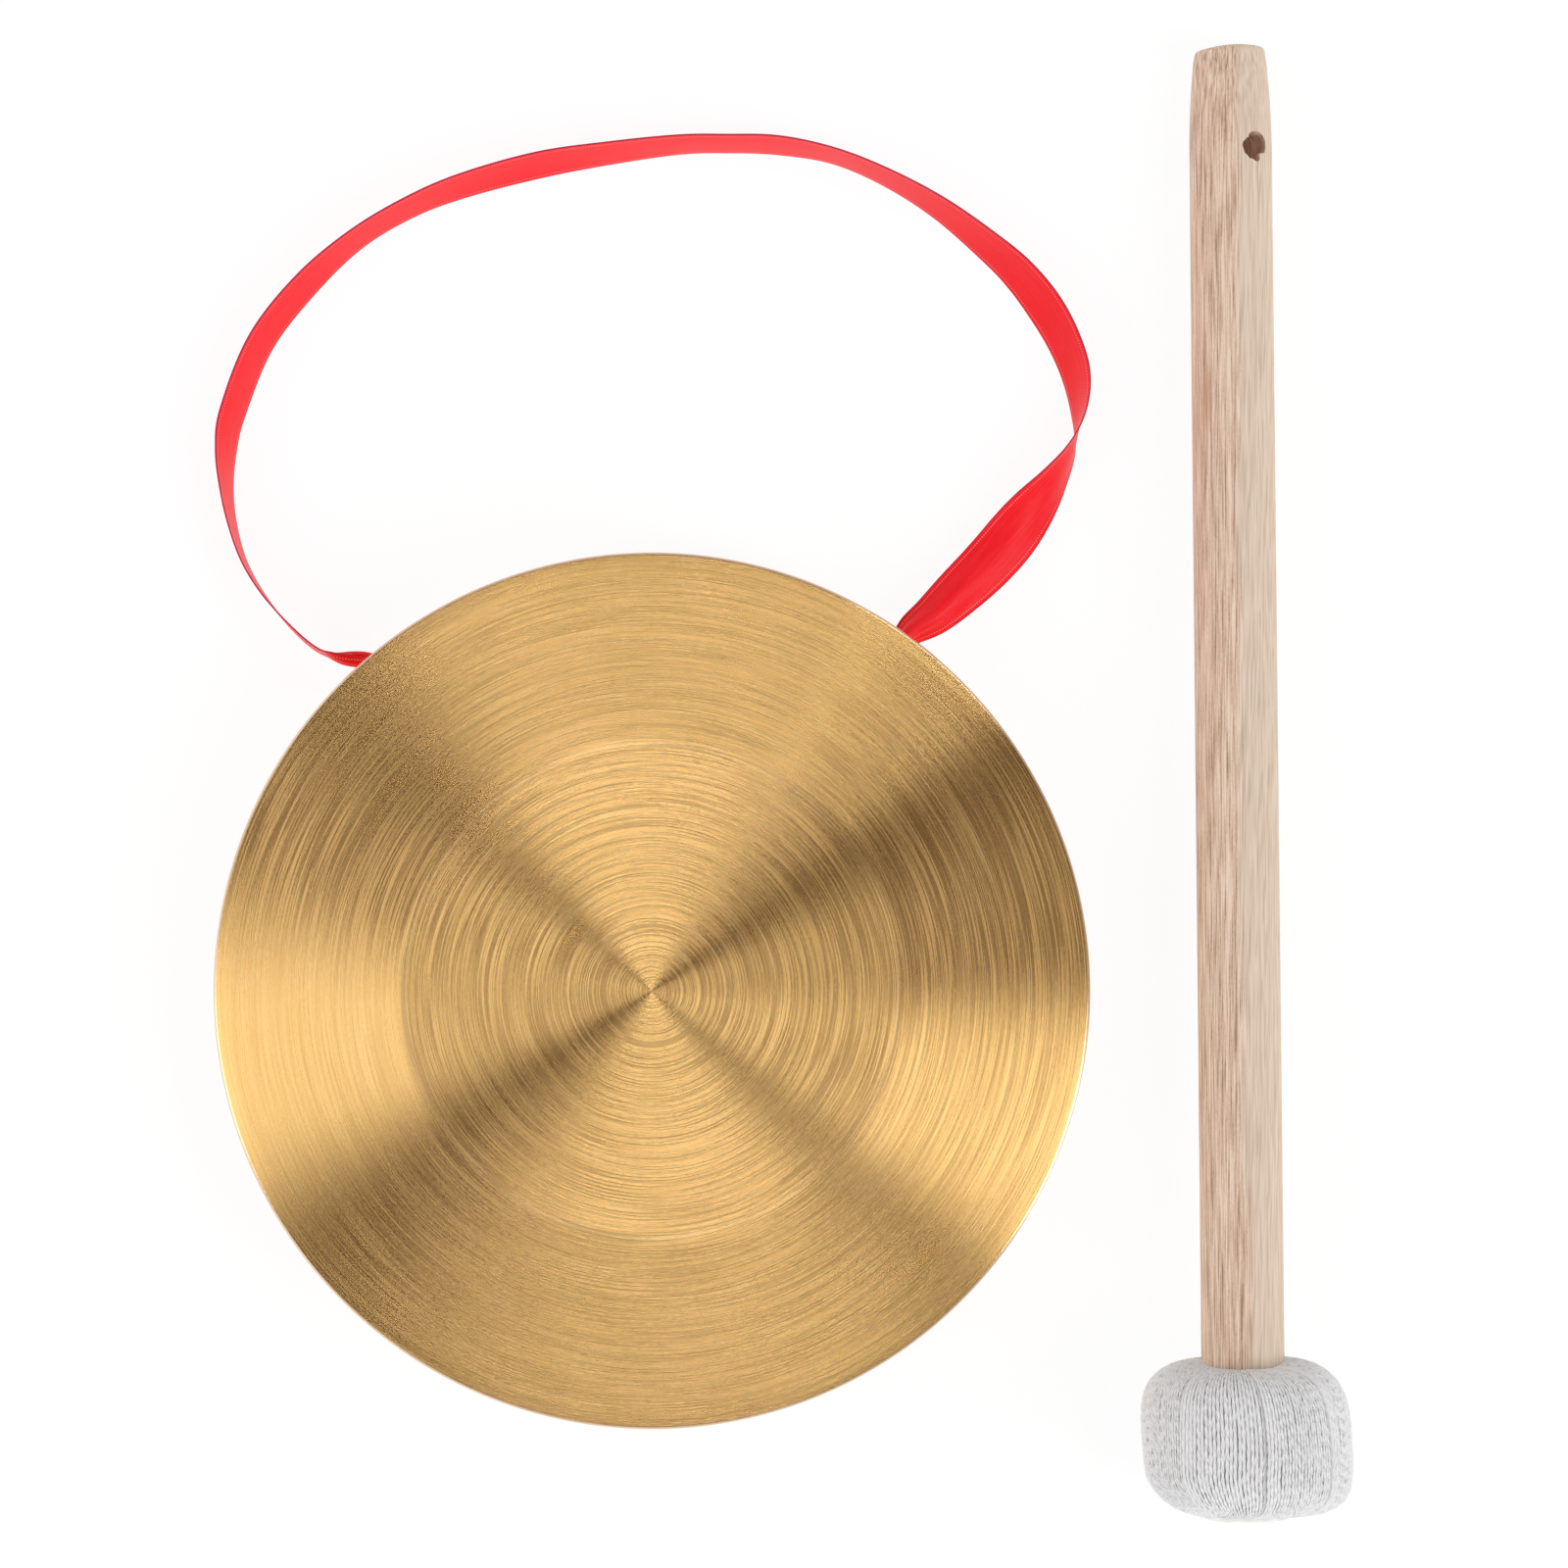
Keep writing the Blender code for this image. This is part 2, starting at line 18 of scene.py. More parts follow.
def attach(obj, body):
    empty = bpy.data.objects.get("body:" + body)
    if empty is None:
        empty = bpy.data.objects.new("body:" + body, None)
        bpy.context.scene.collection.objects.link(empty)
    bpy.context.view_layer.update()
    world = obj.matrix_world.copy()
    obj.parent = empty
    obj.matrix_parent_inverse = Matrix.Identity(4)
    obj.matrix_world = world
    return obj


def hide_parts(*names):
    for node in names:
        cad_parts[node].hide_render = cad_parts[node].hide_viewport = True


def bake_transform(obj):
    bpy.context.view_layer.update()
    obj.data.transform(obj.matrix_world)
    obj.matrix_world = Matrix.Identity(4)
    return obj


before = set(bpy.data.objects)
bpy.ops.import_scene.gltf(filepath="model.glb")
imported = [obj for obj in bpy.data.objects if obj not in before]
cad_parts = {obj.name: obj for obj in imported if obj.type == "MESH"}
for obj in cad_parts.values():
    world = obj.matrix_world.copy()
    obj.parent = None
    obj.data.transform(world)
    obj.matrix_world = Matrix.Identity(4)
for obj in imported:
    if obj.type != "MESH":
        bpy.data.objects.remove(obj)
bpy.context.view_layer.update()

Piece = bpy.types.Object
Finish = bpy.types.Material
Socket = bpy.types.NodeSocket
Value = Union[Socket, float, tuple]
Point = Union[Vector, float]

MM = 0.001
PER_CM = 100.0
UP = Vector((0.0, 0.0, 1.0))
LOG = logging.getLogger("hand_gong")

GONG_CENTRE = Vector((-23.05, -37.0374, 0.0)) * MM
HOLE_HEIGHT = 8.6806 * MM
WALL_AT_HOLE = 76.603 * MM
BRASS_SHEET = 1.0 * MM
BUNDLE_STRIDE = 40.0


def turned(x: Vector, y: Vector, z: Vector) -> Matrix:
    """The turn that brings the axes to three directions."""
    return Matrix((x, y, z)).transposed().to_4x4()


def upright(away: Vector) -> Matrix:
    """The turn that brings Z to a level direction and keeps Y up."""
    return turned(UP.cross(away), UP, away)


class Body(Enum):
    """The moving bodies of the frame."""

    GONG = "gong"
    RIBBON = "ribbon"
    MALLET = "mallet"


class Side(Enum):
    """The two rim holes, with their angles clockwise from +Y."""

    LEFT = radians(-39.9)
    RIGHT = radians(36.1)

    def outward(self) -> Vector:
        """The level direction from the gong's centre to the hole."""
        return Vector((sin(self.value), cos(self.value), 0.0))

    def place(self) -> Matrix:
        """The hole's frame as seen from the gong's centre: Z outward, Y up, X along the wall."""
        away = self.outward()
        return Matrix.Translation(away * WALL_AT_HOLE + UP * HOLE_HEIGHT) @ upright(away)


# ---- working with Blender's tools


def object_mode() -> None:
    """Leaves edit mode and deselects everything."""
    if bpy.context.mode != "OBJECT":
        bpy.ops.object.mode_set(mode="OBJECT")
    bpy.ops.object.select_all(action="DESELECT")


def pick(made: Piece) -> None:
    """Makes one object the only selected and the active one.

    Args:
        made: The object to work on.
    """
    object_mode()
    made.select_set(True)
    bpy.context.view_layer.objects.active = made


def pick_parts(made: Piece, kind: str, wanted: Callable) -> None:
    """Selects edges or faces in edit mode, by their place.

    Args:
        made: The object that is in edit mode.
        kind: EDGE or FACE.
        wanted: A test of one edge or face.
    """
    bpy.ops.mesh.select_mode(type=kind)
    bpy.ops.mesh.select_all(action="DESELECT")
    mesh = bmesh.from_edit_mesh(made.data)
    for part in mesh.edges if kind == "EDGE" else mesh.faces:
        if wanted(part):
            part.select = True
    bmesh.update_edit_mesh(made.data)


def outward(made: Piece) -> None:
    """Turns the normals of a closed piece outward.

    Args:
        made: The piece.
    """
    pick(made)
    bpy.ops.object.mode_set(mode="EDIT")
    bpy.ops.mesh.select_all(action="SELECT")
    bpy.ops.mesh.normals_make_consistent(inside=False)
    bpy.ops.object.mode_set(mode="OBJECT")


def lathe(name: str, outline: list, segments: int) -> Piece:
    """Turns an outline about Z: a small disc whose rim is extruded and resized point by point.

    Args:
        name: The new object's name.
        outline: Points of (radius, height), the first near the axis. A last radius of 0 closes the end.
        segments: How many sides the rings have.

    Returns:
        The turned object, with its normals outward.
    """
    object_mode()
    radius, height = outline[0]
    bpy.ops.mesh.primitive_circle_add(vertices=segments, radius=radius, fill_type="TRIFAN")
    made = bpy.context.object
    made.name = name
    bpy.ops.object.mode_set(mode="EDIT")
    bpy.ops.transform.translate(value=(0.0, 0.0, height))
    pick_parts(made, "EDGE", lambda edge: edge.is_boundary)
    for next_radius, next_height in outline[1:]:
        rise = (0.0, 0.0, next_height - height)
        bpy.ops.mesh.extrude_edges_move(TRANSFORM_OT_translate={"value": rise})
        if next_radius <= 0.0:
            bpy.ops.mesh.merge(type="CENTER")
            break
        scale = next_radius / radius
        bpy.ops.transform.resize(value=(scale, scale, 1.0), center_override=(0.0, 0.0, 0.0))
        radius, height = next_radius, next_height
    outward(made)
    return made


def drill_bit(sides: int, radius: float, depth: float, dip: float, steps: tuple) -> Piece:
    """Makes a cutter along Z: a cylinder whose upper face is lowered and then extruded.

    Args:
        sides: How many sides it has.
        radius: Its radius.
        depth: The cylinder's depth.
        dip: How far its upper face goes down.
        steps: The rise and the scale of each ring above that face.

    Returns:
        The cutter, about the origin.
    """
    object_mode()
    bpy.ops.mesh.primitive_cylinder_add(vertices=sides, radius=radius, depth=depth)
    cutter = bpy.context.object
    bpy.ops.object.mode_set(mode="EDIT")
    pick_parts(cutter, "FACE", lambda face: face.normal.z > 0.9)
    bpy.ops.transform.translate(value=(0.0, 0.0, -dip))
    for rise, scale in steps:
        bpy.ops.mesh.extrude_region_move(TRANSFORM_OT_translate={"value": (0.0, 0.0, rise)})
        if scale != 1.0:
            bpy.ops.transform.resize(value=(scale, scale, 1.0))
    bpy.ops.object.mode_set(mode="OBJECT")
    return cutter


def put(made: Piece, place: Matrix) -> None:
    """Moves a piece from its own frame to its place, and keeps its object at the origin.

    Args:
        made: The piece, modelled about the origin.
        place: Where its frame is in the scene.
    """
    pick(made)
    made.matrix_world = place
    bpy.ops.object.transform_apply(location=True, rotation=True, scale=True)


def change(made: Piece, kind: str, **settings: Any) -> None:
    """Adds a modifier and applies it.

    Args:
        made: The piece.
        kind: The modifier's type.
        **settings: The modifier's own settings.
    """
    pick(made)
    modifier = made.modifiers.new(kind.lower(), kind)
    for key, value in settings.items():
        setattr(modifier, key, value)
    bpy.ops.object.modifier_apply(modifier=modifier.name)


def cut(made: Piece, cutter: Piece, **settings: Any) -> None:
    """Cuts a piece with a cutter, and removes the cutter."""
    change(made, "BOOLEAN", operation="DIFFERENCE", solver="EXACT", object=cutter, **settings)
    bpy.data.objects.remove(cutter)


def smooth(made: Piece, sharp: float) -> None:
    """Shades a piece smooth, with the edges sharper than an angle in degrees kept."""
    pick(made)
    bpy.ops.object.shade_smooth_by_angle(angle=radians(sharp))


def dress(made: Piece, *materials: Finish) -> None:
    """Gives a piece its materials, in the order of its slots.

    Args:
        made: The piece.
        *materials: Its materials.
    """
    made.data.materials.clear()
    for material in materials:
        made.data.materials.append(material)


def skin(name: str, rows: list, cells: list) -> Piece:
    """Joins closed rows of points to a tube with capped ends, for ribbon and yarn.

    Args:
        name: The new object's name.
        rows: Rows of points, all of one length.
        cells: For each row, the UV of each of its points.

    Returns:
        The new object, with its normals outward.
    """
    count = len(rows[0])
    faces = []
    for start in range(0, (len(rows) - 1) * count, count):
        end = start + count
        for turn in range(count):
            other = (turn + 1) % count
            faces.append((start + turn, start + other, end + other, end + turn))
    for start, flip in ((0, True), ((len(rows) - 1) * count, False)):
        for turn in range(count // 2 - 1):
            cap = (start + turn, start + turn + 1, start + count - 2 - turn, start + count - 1 - turn)
            faces.append(cap[::-1] if flip else cap)
    data = bpy.data.meshes.new(name)
    data.from_pydata([point for row in rows for point in row], [], faces)
    flat = [cell for row in cells for cell in row]
    layer = data.uv_layers.new(name="lay")
    for loop in data.loops:
        layer.data[loop.index].uv = flat[loop.vertex_index]
    made = bpy.data.objects.new(name, data)
    bpy.context.collection.objects.link(made)
    outward(made)
    return made


def hand_over(made: Piece, body: Body, node: str) -> None:
    """Lets a finished piece ride on its body in place of a CAD node.

    Args:
        made: The piece.
        body: The body that it rides on.
        node: The CAD node that it stands for.
    """
    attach(made, body.value)
    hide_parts(node)
    LOG.info("%s: %d faces, on %s", made.name, len(made.data.polygons), body.value)


# ---- lines


def eased(share: float) -> float:
    """A share from 0 to 1 that starts and ends gently."""
    held = min(max(share, 0.0), 1.0)
    return held * held * (3.0 - 2.0 * held)


def through(before: Point, start: Point, end: Point, after: Point, share: float) -> Point:
    """A point between start and end, on the smooth curve that also passes its neighbours.

    Args:
        before: The point before start.
        start: The point at share 0.
        end: The point at share 1.
        after: The point after end.
        share: How far from start to end.

    Returns:
        The point, of the same kind as they are.
    """
    bend = 2.0 * before - 5.0 * start + 4.0 * end - after
    twist = 3.0 * (start - end) + after - before
    return start + 0.5 * share * (end - before + share * (bend + share * twist))


def flowing(nodes: list, parts: int) -> list:
    """Fills in the smooth curves through nodes.

    Args:
        nodes: Rows of values, such as a place and a width.
        parts: The parts between two nodes.

    Returns:
        The rows, nodes among them.
    """
    held = [nodes[0], *nodes, nodes[-1]]
    line = []
    for near in zip(held, held[1:], held[2:], held[3:]):
        line += [[through(*channel, part / parts) for channel in zip(*near)] for part in range(parts)]
    return [*line, list(nodes[-1])]


def neighbours(line: list, index: int, reach: int = 1) -> tuple:
    """The items some places before and after one item, as far as the line goes."""
    return line[max(index - reach, 0)], line[min(index + reach, len(line) - 1)]


def walk(points: list) -> list:
    """How far along a line each of its points is.

    Args:
        points: The line's points.

    Returns:
        A distance for each point.
    """
    walked = [0.0]
    for one, other in zip(points, points[1:]):
        walked.append(walked[-1] + (other - one).length)
    return walked


def evenly(walked: list, count: int) -> list:
    """Even steps along a line.

    Args:
        walked: How far along the line each of its points is.
        count: The number of steps.

    Returns:
        For each step its distance, the point before it, and its share of the way to the next point.
    """
    made, index = [], 0
    for number in range(count + 1):
        distance = walked[-1] * number / count
        while index < len(walked) - 2 and walked[index + 1] < distance:
            index += 1
        made.append((distance, index, (distance - walked[index]) / (walked[index + 1] - walked[index])))
    return made


# ---- finishes


class Nodes:
    """A node tree under way, with short ways to add nodes."""

    def __init__(self, owner: bpy.types.ID) -> None:
        """Starts on the tree of a material or a world."""
        owner.use_nodes = True
        self.tree = owner.node_tree

    def feed(self, node: bpy.types.Node, socket: str | int, value: Value) -> None:
        """Links a socket to another, or sets it.

        Args:
            node: The node that is fed.
            socket: The name or number of its input.
            value: A socket, a number or a tuple.
        """
        target = node.inputs[socket]
        if isinstance(value, Socket):
            self.tree.links.new(value, target)
        elif isinstance(value, tuple) and target.type == "RGBA":
            target.default_value = (*value, 1.0)
        else:
            target.default_value = value

    def add(self, kind: str, feeds: dict, output: str | int = 0, **settings: Any) -> Socket:
        """Adds a node and returns one of its outputs.

        Args:
            kind: The node's type, without its ShaderNode prefix.
            feeds: Its inputs, by name or number.
            output: The name or number of the output wanted.
            **settings: The node's own settings.

        Returns:
            The output socket.
        """
        node = self.tree.nodes.new("ShaderNode" + kind)
        for key, value in settings.items():
            setattr(node, key, value)
        for socket, value in feeds.items():
            self.feed(node, socket, value)
        return node.outputs[output]

    def maths(self, operation: str, *values: Value) -> Socket:
        """One sum of numbers, such as SINE or FRACT."""
        return self.add("Math", dict(enumerate(values)), operation=operation)

    def less(self, one: Value, other: Value) -> Socket:
        """One number without another."""
        return self.maths("SUBTRACT", one, other)

    def times(self, one: Value, other: Value) -> Socket:
        """Two numbers multiplied."""
        return self.maths("MULTIPLY", one, other)

    def part(self, base: Value, value: Value, share: Value) -> Socket:
        """A number with a share of another added."""
        return self.maths("MULTIPLY_ADD", value, share, base)

    def pulled(self, value: Value, middle: float, share: Value) -> Socket:
        """A number pulled towards a middle, with a share of its distance kept."""
        return self.part(middle, self.less(value, middle), share)

    def apart(self, value: Value, middle: float) -> Socket:
        """How far a number is from another."""
        return self.maths("ABSOLUTE", self.less(value, middle))

    def vector(self, operation: str, *values: Value, output: str = "Vector") -> Socket:
        """One sum of vectors, such as SUBTRACT or NORMALIZE."""
        return self.add("VectorMath", dict(enumerate(values)), output, operation=operation)

    def length(self, value: Value) -> Socket:
        """The length of a vector."""
        return self.vector("LENGTH", value, output="Value")

    def split(self, value: Socket) -> list:
        """The three parts of a vector."""
        return list(self.add("SeparateXYZ", {0: value}).node.outputs)

    def join(self, x: Value, y: Value, z: Value) -> Socket:
        """A vector of three numbers."""
        return self.add("CombineXYZ", {0: x, 1: y, 2: z})

    def level(self, value: Value, *ends: float) -> Socket:
        """Maps a number from one range to another, 0 to 1 unless given, eased at its ends."""
        feeds = dict(enumerate((value, *ends)))
        return self.add("MapRange", feeds, interpolation_type="SMOOTHSTEP")

    def mix(self, factor: Value, one: Value, other: Value, mode: str = "MIX") -> Socket:
        """Two colours mixed by a factor."""
        feeds = {0: factor, 6: one, 7: other}
        return self.add("Mix", feeds, 2, data_type="RGBA", blend_type=mode)


class Recipe(Nodes):
    """A material under way, with its shader."""

    def __init__(self, name: str, sockets: dict) -> None:
        """Starts the material.

        Args:
            name: The material's name.
            sockets: Values set on the shader's own sockets.
        """
        self.material = bpy.data.materials.new(name)
        super().__init__(self.material)
        self.shader = self.tree.nodes["Principled BSDF"]
        for socket, value in sockets.items():
            self.feed(self.shader, socket, value)

    def place(self) -> Socket:
        """The piece's own coordinates."""
        return self.add("TexCoord", {}, "Object")

    def lay(self) -> Socket:
        """The UV along and across ribbon or yarn."""
        return self.add("UVMap", {}, uv_map="lay")

    def grain(
        self, place: Value, detail: float, roughness: float = 0.5, stretch: tuple = (), scale: float = 1.0
    ) -> Socket:
        """Soft noise from 0 to 1 at a place.

        Args:
            place: Where the noise is read.
            detail: How many finer layers it has.
            roughness: How strong the finer layers are.
            stretch: What each part of the place is multiplied by first, if given.
            scale: The noise's own scale.

        Returns:
            The output socket.
        """
        if stretch:
            place = self.vector("MULTIPLY", place, stretch)
        feeds = {"Vector": place, "Scale": scale, "Detail": detail, "Roughness": roughness}
        return self.add("TexNoise", feeds, "Fac")

    def stops(self, factor: Socket, *colours: tuple) -> Socket:
        """A run of colours.

        Args:
            factor: Where in the run a point is, 0 to 1.
            *colours: Pairs of place and colour.

        Returns:
            The colour socket.
        """
        node = self.tree.nodes.new("ShaderNodeValToRGB")
        self.feed(node, 0, factor)
        ramp = node.color_ramp
        while len(ramp.elements) < len(colours):
            ramp.elements.new(1.0)
        for element, (position, colour) in zip(ramp.elements, colours):
            element.position = position
            element.color = (*colour, 1.0)
        return node.outputs[0]

    def finished(self, colour: Socket, height: Socket, distance: float, strength: float) -> Finish:
        """Feeds the shader its colour and its bump.

        Args:
            colour: The colour.
            height: The height of the bump, about 0 to 1.
            distance: What 1 is in metres.
            strength: How much of it shows.

        Returns:
            The material.
        """
        feeds = {"Height": height, "Distance": distance, "Strength": strength}
        self.feed(self.shader, "Base Color", colour)
        self.feed(self.shader, "Normal", self.add("Bump", feeds))
        return self.material


@dataclass(frozen=True)
class BrushedBrass:
    """Spun brass, brushed in rings, so that light spreads into fans across the rings."""

    keen_across: float = 0.14
    soft_across: float = 0.26
    ratio: float = 0.1
    ring_scale: float = 4200.0
    arc_scale: float = 44.0
    line_strength: float = 0.86
    calmer_at_top: float = -0.55
    sway: float = 0.025
    crease: float = 43.6 * MM
    edge: float = 76.9 * MM
    edge_height: float = 18.6 * MM

    def spread(self, across: float) -> float:
        """The roughness that spreads light so far across the rings."""
        return across * sqrt(sqrt(self.ratio) / across)

    def make(self) -> Finish:
        """Builds the material.

        Returns:
            The material.
        """
        recipe = Recipe("brushed_brass", {"Metallic": 1.0, "Anisotropic": (1.0 - self.ratio) / 0.9})
        spot = recipe.vector("SUBTRACT", recipe.place(), tuple(GONG_CENTRE))
        x, y, z = recipe.split(spot)
        radius = recipe.length(recipe.join(x, y, 0.0))
        run = recipe.times(recipe.less(radius, z), self.ring_scale)
        arcs = recipe.join(run, recipe.times(x, self.arc_scale), recipe.times(y, self.arc_scale))
        outer = recipe.level(radius, self.crease - 0.2 * MM, self.crease + 0.8 * MM)
        calm = recipe.times(recipe.level(recipe.maths("DIVIDE", y, radius), 0.25, 0.75, 0.0, 0.65), outer)
        kept = recipe.part(self.line_strength, calm, self.calmer_at_top)
        bold = recipe.grain(arcs, 1.0, stretch=(0.45, 0.7, 0.7))
        lines = recipe.part(recipe.times(recipe.grain(arcs, 1.0), 0.9), bold, 0.1)
        lines = recipe.pulled(lines, 0.5, kept)
        tint = recipe.stops(
            lines, (0.34, (0.80, 0.497, 0.182)), (0.50, (0.882, 0.559, 0.215)), (0.66, (0.950, 0.617, 0.252))
        )
        cloudy = recipe.grain(spot, 2.0, scale=42.0)
        stain = recipe.stops(cloudy, (0.35, (0.93, 0.94, 0.90)), (0.65, (1.0, 1.0, 1.0)))
        tint = recipe.mix(1.0, tint, stain, "MULTIPLY")
        # Painted reflection: the top of the rounded edge is tinted pale pink, so that its reflection of the
        # bright horizon reads as a thin pinkish line and not as bright yellow.
        at_edge = recipe.level(radius, self.edge, self.edge + 0.3 * MM)
        edge_reflection_tint = recipe.times(at_edge, recipe.level(z, self.edge_height, self.edge_height + 0.4 * MM))
        tint = recipe.mix(recipe.times(edge_reflection_tint, 0.7), tint, (0.78, 0.60, 0.46))
        # Painted highlight: a paler, lighter line of brass along the crease, where the bend catches light.
        crease_highlight = recipe.level(recipe.apart(radius, self.crease), 0.5 * MM, 0.0, 0.0, 0.24)
        tint = recipe.mix(crease_highlight, tint, (1.0, 0.74, 0.42))
        haze = recipe.pulled(recipe.grain(arcs, 0.0, stretch=(1.3, 1.2, 1.2)), 0.53, kept)
        keen, soft = self.spread(self.keen_across), self.spread(self.soft_across)
        recipe.feed(recipe.shader, "Roughness", recipe.level(haze, 0.40, 0.66, keen, soft))
        ring = recipe.vector("NORMALIZE", recipe.join(recipe.times(y, -1.0), x, 0.0))
        across = recipe.vector("CROSS_PRODUCT", recipe.add("NewGeometry", {}, "Normal"), ring)
        sway = recipe.times(recipe.less(lines, 0.5), self.sway)
        swayed = recipe.vector("ADD", across, recipe.vector("MULTIPLY", ring, recipe.join(sway, sway, sway)))
        recipe.feed(recipe.shader, "Tangent", recipe.vector("NORMALIZE", swayed))
        return recipe.finished(tint, lines, 0.003 * MM, 0.25)


@dataclass(frozen=True)
class Satin:
    """One face of the satin ribbon, with painted sheen streaks. Its UV runs in centimetres: along the ribbon,
    then across it.
    """

    name: str
    colour: tuple
    # The lighter colour of the painted sheen streaks.
    pale: tuple
    rib_strength: float
    sheen: float
    ribs: float = 20.0
    twills: tuple = (36.0, 30.0)

    def make(self) -> Finish:
        """Builds the material.

        Returns:
            The material.
        """
        sockets = {"Roughness": 0.42, "Specular IOR Level": 0.18, "Sheen Weight": self.sheen}
        recipe = Recipe(self.name, {**sockets, "Sheen Roughness": 0.35, "Sheen Tint": (1.0, 0.75, 0.75)})
        lay = recipe.lay()
        along, across, _ = recipe.split(lay)
        edge = recipe.apart(across, 0.5)
        rib = recipe.maths("SINE", recipe.times(along, tau * self.ribs))
        twill_run = recipe.part(recipe.times(along, self.twills[0]), across, self.twills[1])
        twill = recipe.maths("SINE", recipe.times(twill_run, tau))
        # Painted sheen: long lighter streaks along the ribbon, where the satin's pleats catch the light.
        sheen_streaks = recipe.grain(lay, 3.0, 0.6, (1.2, 26.0, 0.0))
        threads = recipe.grain(lay, 2.0, 0.5, (60.0, 160.0, 0.0))
        shade = recipe.mix(recipe.level(sheen_streaks, 0.35, 0.72), self.colour, self.pale)
        shade = recipe.mix(recipe.level(threads, 0.3, 0.7, 0.0, 0.16), shade, (0.75, 0.01, 0.02))
        stitch_band = recipe.times(recipe.level(edge, 0.395, 0.41), recipe.level(edge, 0.435, 0.42))
        dots = recipe.times(stitch_band, recipe.level(rib, -0.1, 0.5))
        shade = recipe.mix(recipe.times(dots, 0.5), shade, (1.0, 0.42, 0.42))
        shade = recipe.mix(recipe.level(edge, 0.478, 0.492, 0.0, 0.75), shade, (0.42, 0.01, 0.06))
        weave = recipe.part(recipe.times(rib, self.rib_strength), twill, 0.5 - 0.5 * self.rib_strength)
        return recipe.finished(shade, recipe.part(weave, threads, 1.2), 0.02 * MM, 0.5)


@dataclass(frozen=True)
class DowelWood:
    """Raw sanded dowel: brown open grain on the gong's side, smooth cream with pores on the other.

    It reads millimetres in the mallet's own frame, with Z along the dowel.
    """

    place: Matrix

    def make(self) -> Finish:
        """Builds the material.

        Returns:
            The material.
        """
        recipe = Recipe("raw_dowel", {"Roughness": 0.62, "Specular IOR Level": 0.3})
        own = {"Location": tuple(self.place.translation), "Rotation": tuple(self.place.to_euler())}
        feeds = {"Vector": recipe.place(), **own, "Scale": (MM, MM, MM)}
        spot = recipe.add("Mapping", feeds, vector_type="TEXTURE")
        x, y, z = recipe.split(spot)
        lean = recipe.join(recipe.part(x, z, 0.012), y, z)
        bent = recipe.grain(recipe.join(0.0, 3.7, recipe.times(z, 0.028)), 2.0)
        tilted = recipe.part(recipe.part(x, bent, 3.4), y, -0.12)
        fray = recipe.grain(lean, 3.0, 0.6, (1.6, 1.6, 0.05))
        brown = recipe.level(recipe.part(tilted, fray, 2.4), 0.2, 2.6)
        streak = recipe.grain(lean, 1.5, 0.6, (3.9, 3.9, 0.095))
        broad = recipe.grain(lean, 2.0, 0.5, (0.9, 0.9, 0.03))
        grit = recipe.grain(lean, 1.0, 0.6, (3.6, 3.6, 1.3))
        mixed = recipe.part(recipe.part(recipe.times(streak, 0.66), broad, 0.22), grit, 0.12)
        rough = recipe.stops(
            mixed,
            (0.37, (0.360, 0.230, 0.155)),
            (0.44, (0.585, 0.408, 0.295)),
            (0.51, (0.700, 0.512, 0.387)),
            (0.59, (0.830, 0.660, 0.525)),
        )
        cream = recipe.stops(
            streak,
            (0.34, (0.600, 0.470, 0.355)),
            (0.50, (0.700, 0.565, 0.440)),
            (0.66, (0.770, 0.635, 0.510)),
        )
        slanted = recipe.join(recipe.part(x, z, 0.07), y, z)
        pores = recipe.grain(slanted, 1.0, 0.4, (2.4, 2.4, 0.065))
        cream = recipe.mix(recipe.level(pores, 0.60, 0.70, 0.0, 0.45), cream, (0.42, 0.34, 0.27))
        wood = recipe.mix(brown, cream, rough)
        from_patch = recipe.vector("SUBTRACT", spot, (5.0, 5.2, 199.0))
        patch = recipe.length(recipe.vector("MULTIPLY", from_patch, (0.45, 0.3, 0.12)))
        ragged = recipe.part(patch, streak, 0.9)
        wood = recipe.mix(recipe.level(ragged, 1.3, 0.6, 0.0, 0.55), wood, (0.50, 0.27, 0.14))
        relief = recipe.part(recipe.times(mixed, brown), pores, -0.3)
        return recipe.finished(wood, relief, 0.12 * MM, 0.55)


@dataclass(frozen=True)
class BoredWood:
    """The torn grain inside a drilled hole, and the wood of the hidden core."""

    name: str = "bored_wood"
    dark: tuple = (0.40, 0.25, 0.155)
    light: tuple = (0.90, 0.66, 0.52)
    scale: float = 900.0

    def make(self) -> Finish:
        """Builds the material.

        Returns:
            The material.
        """
        recipe = Recipe(self.name, {"Roughness": 0.8, "Specular IOR Level": 0.2})
        fibres = recipe.grain(recipe.place(), 3.0, 0.6, (self.scale, 0.16 * self.scale, self.scale))
        colour = recipe.stops(fibres, (0.3, self.dark), (0.7, self.light))
        return recipe.finished(colour, fibres, 0.15 * MM, 0.7)


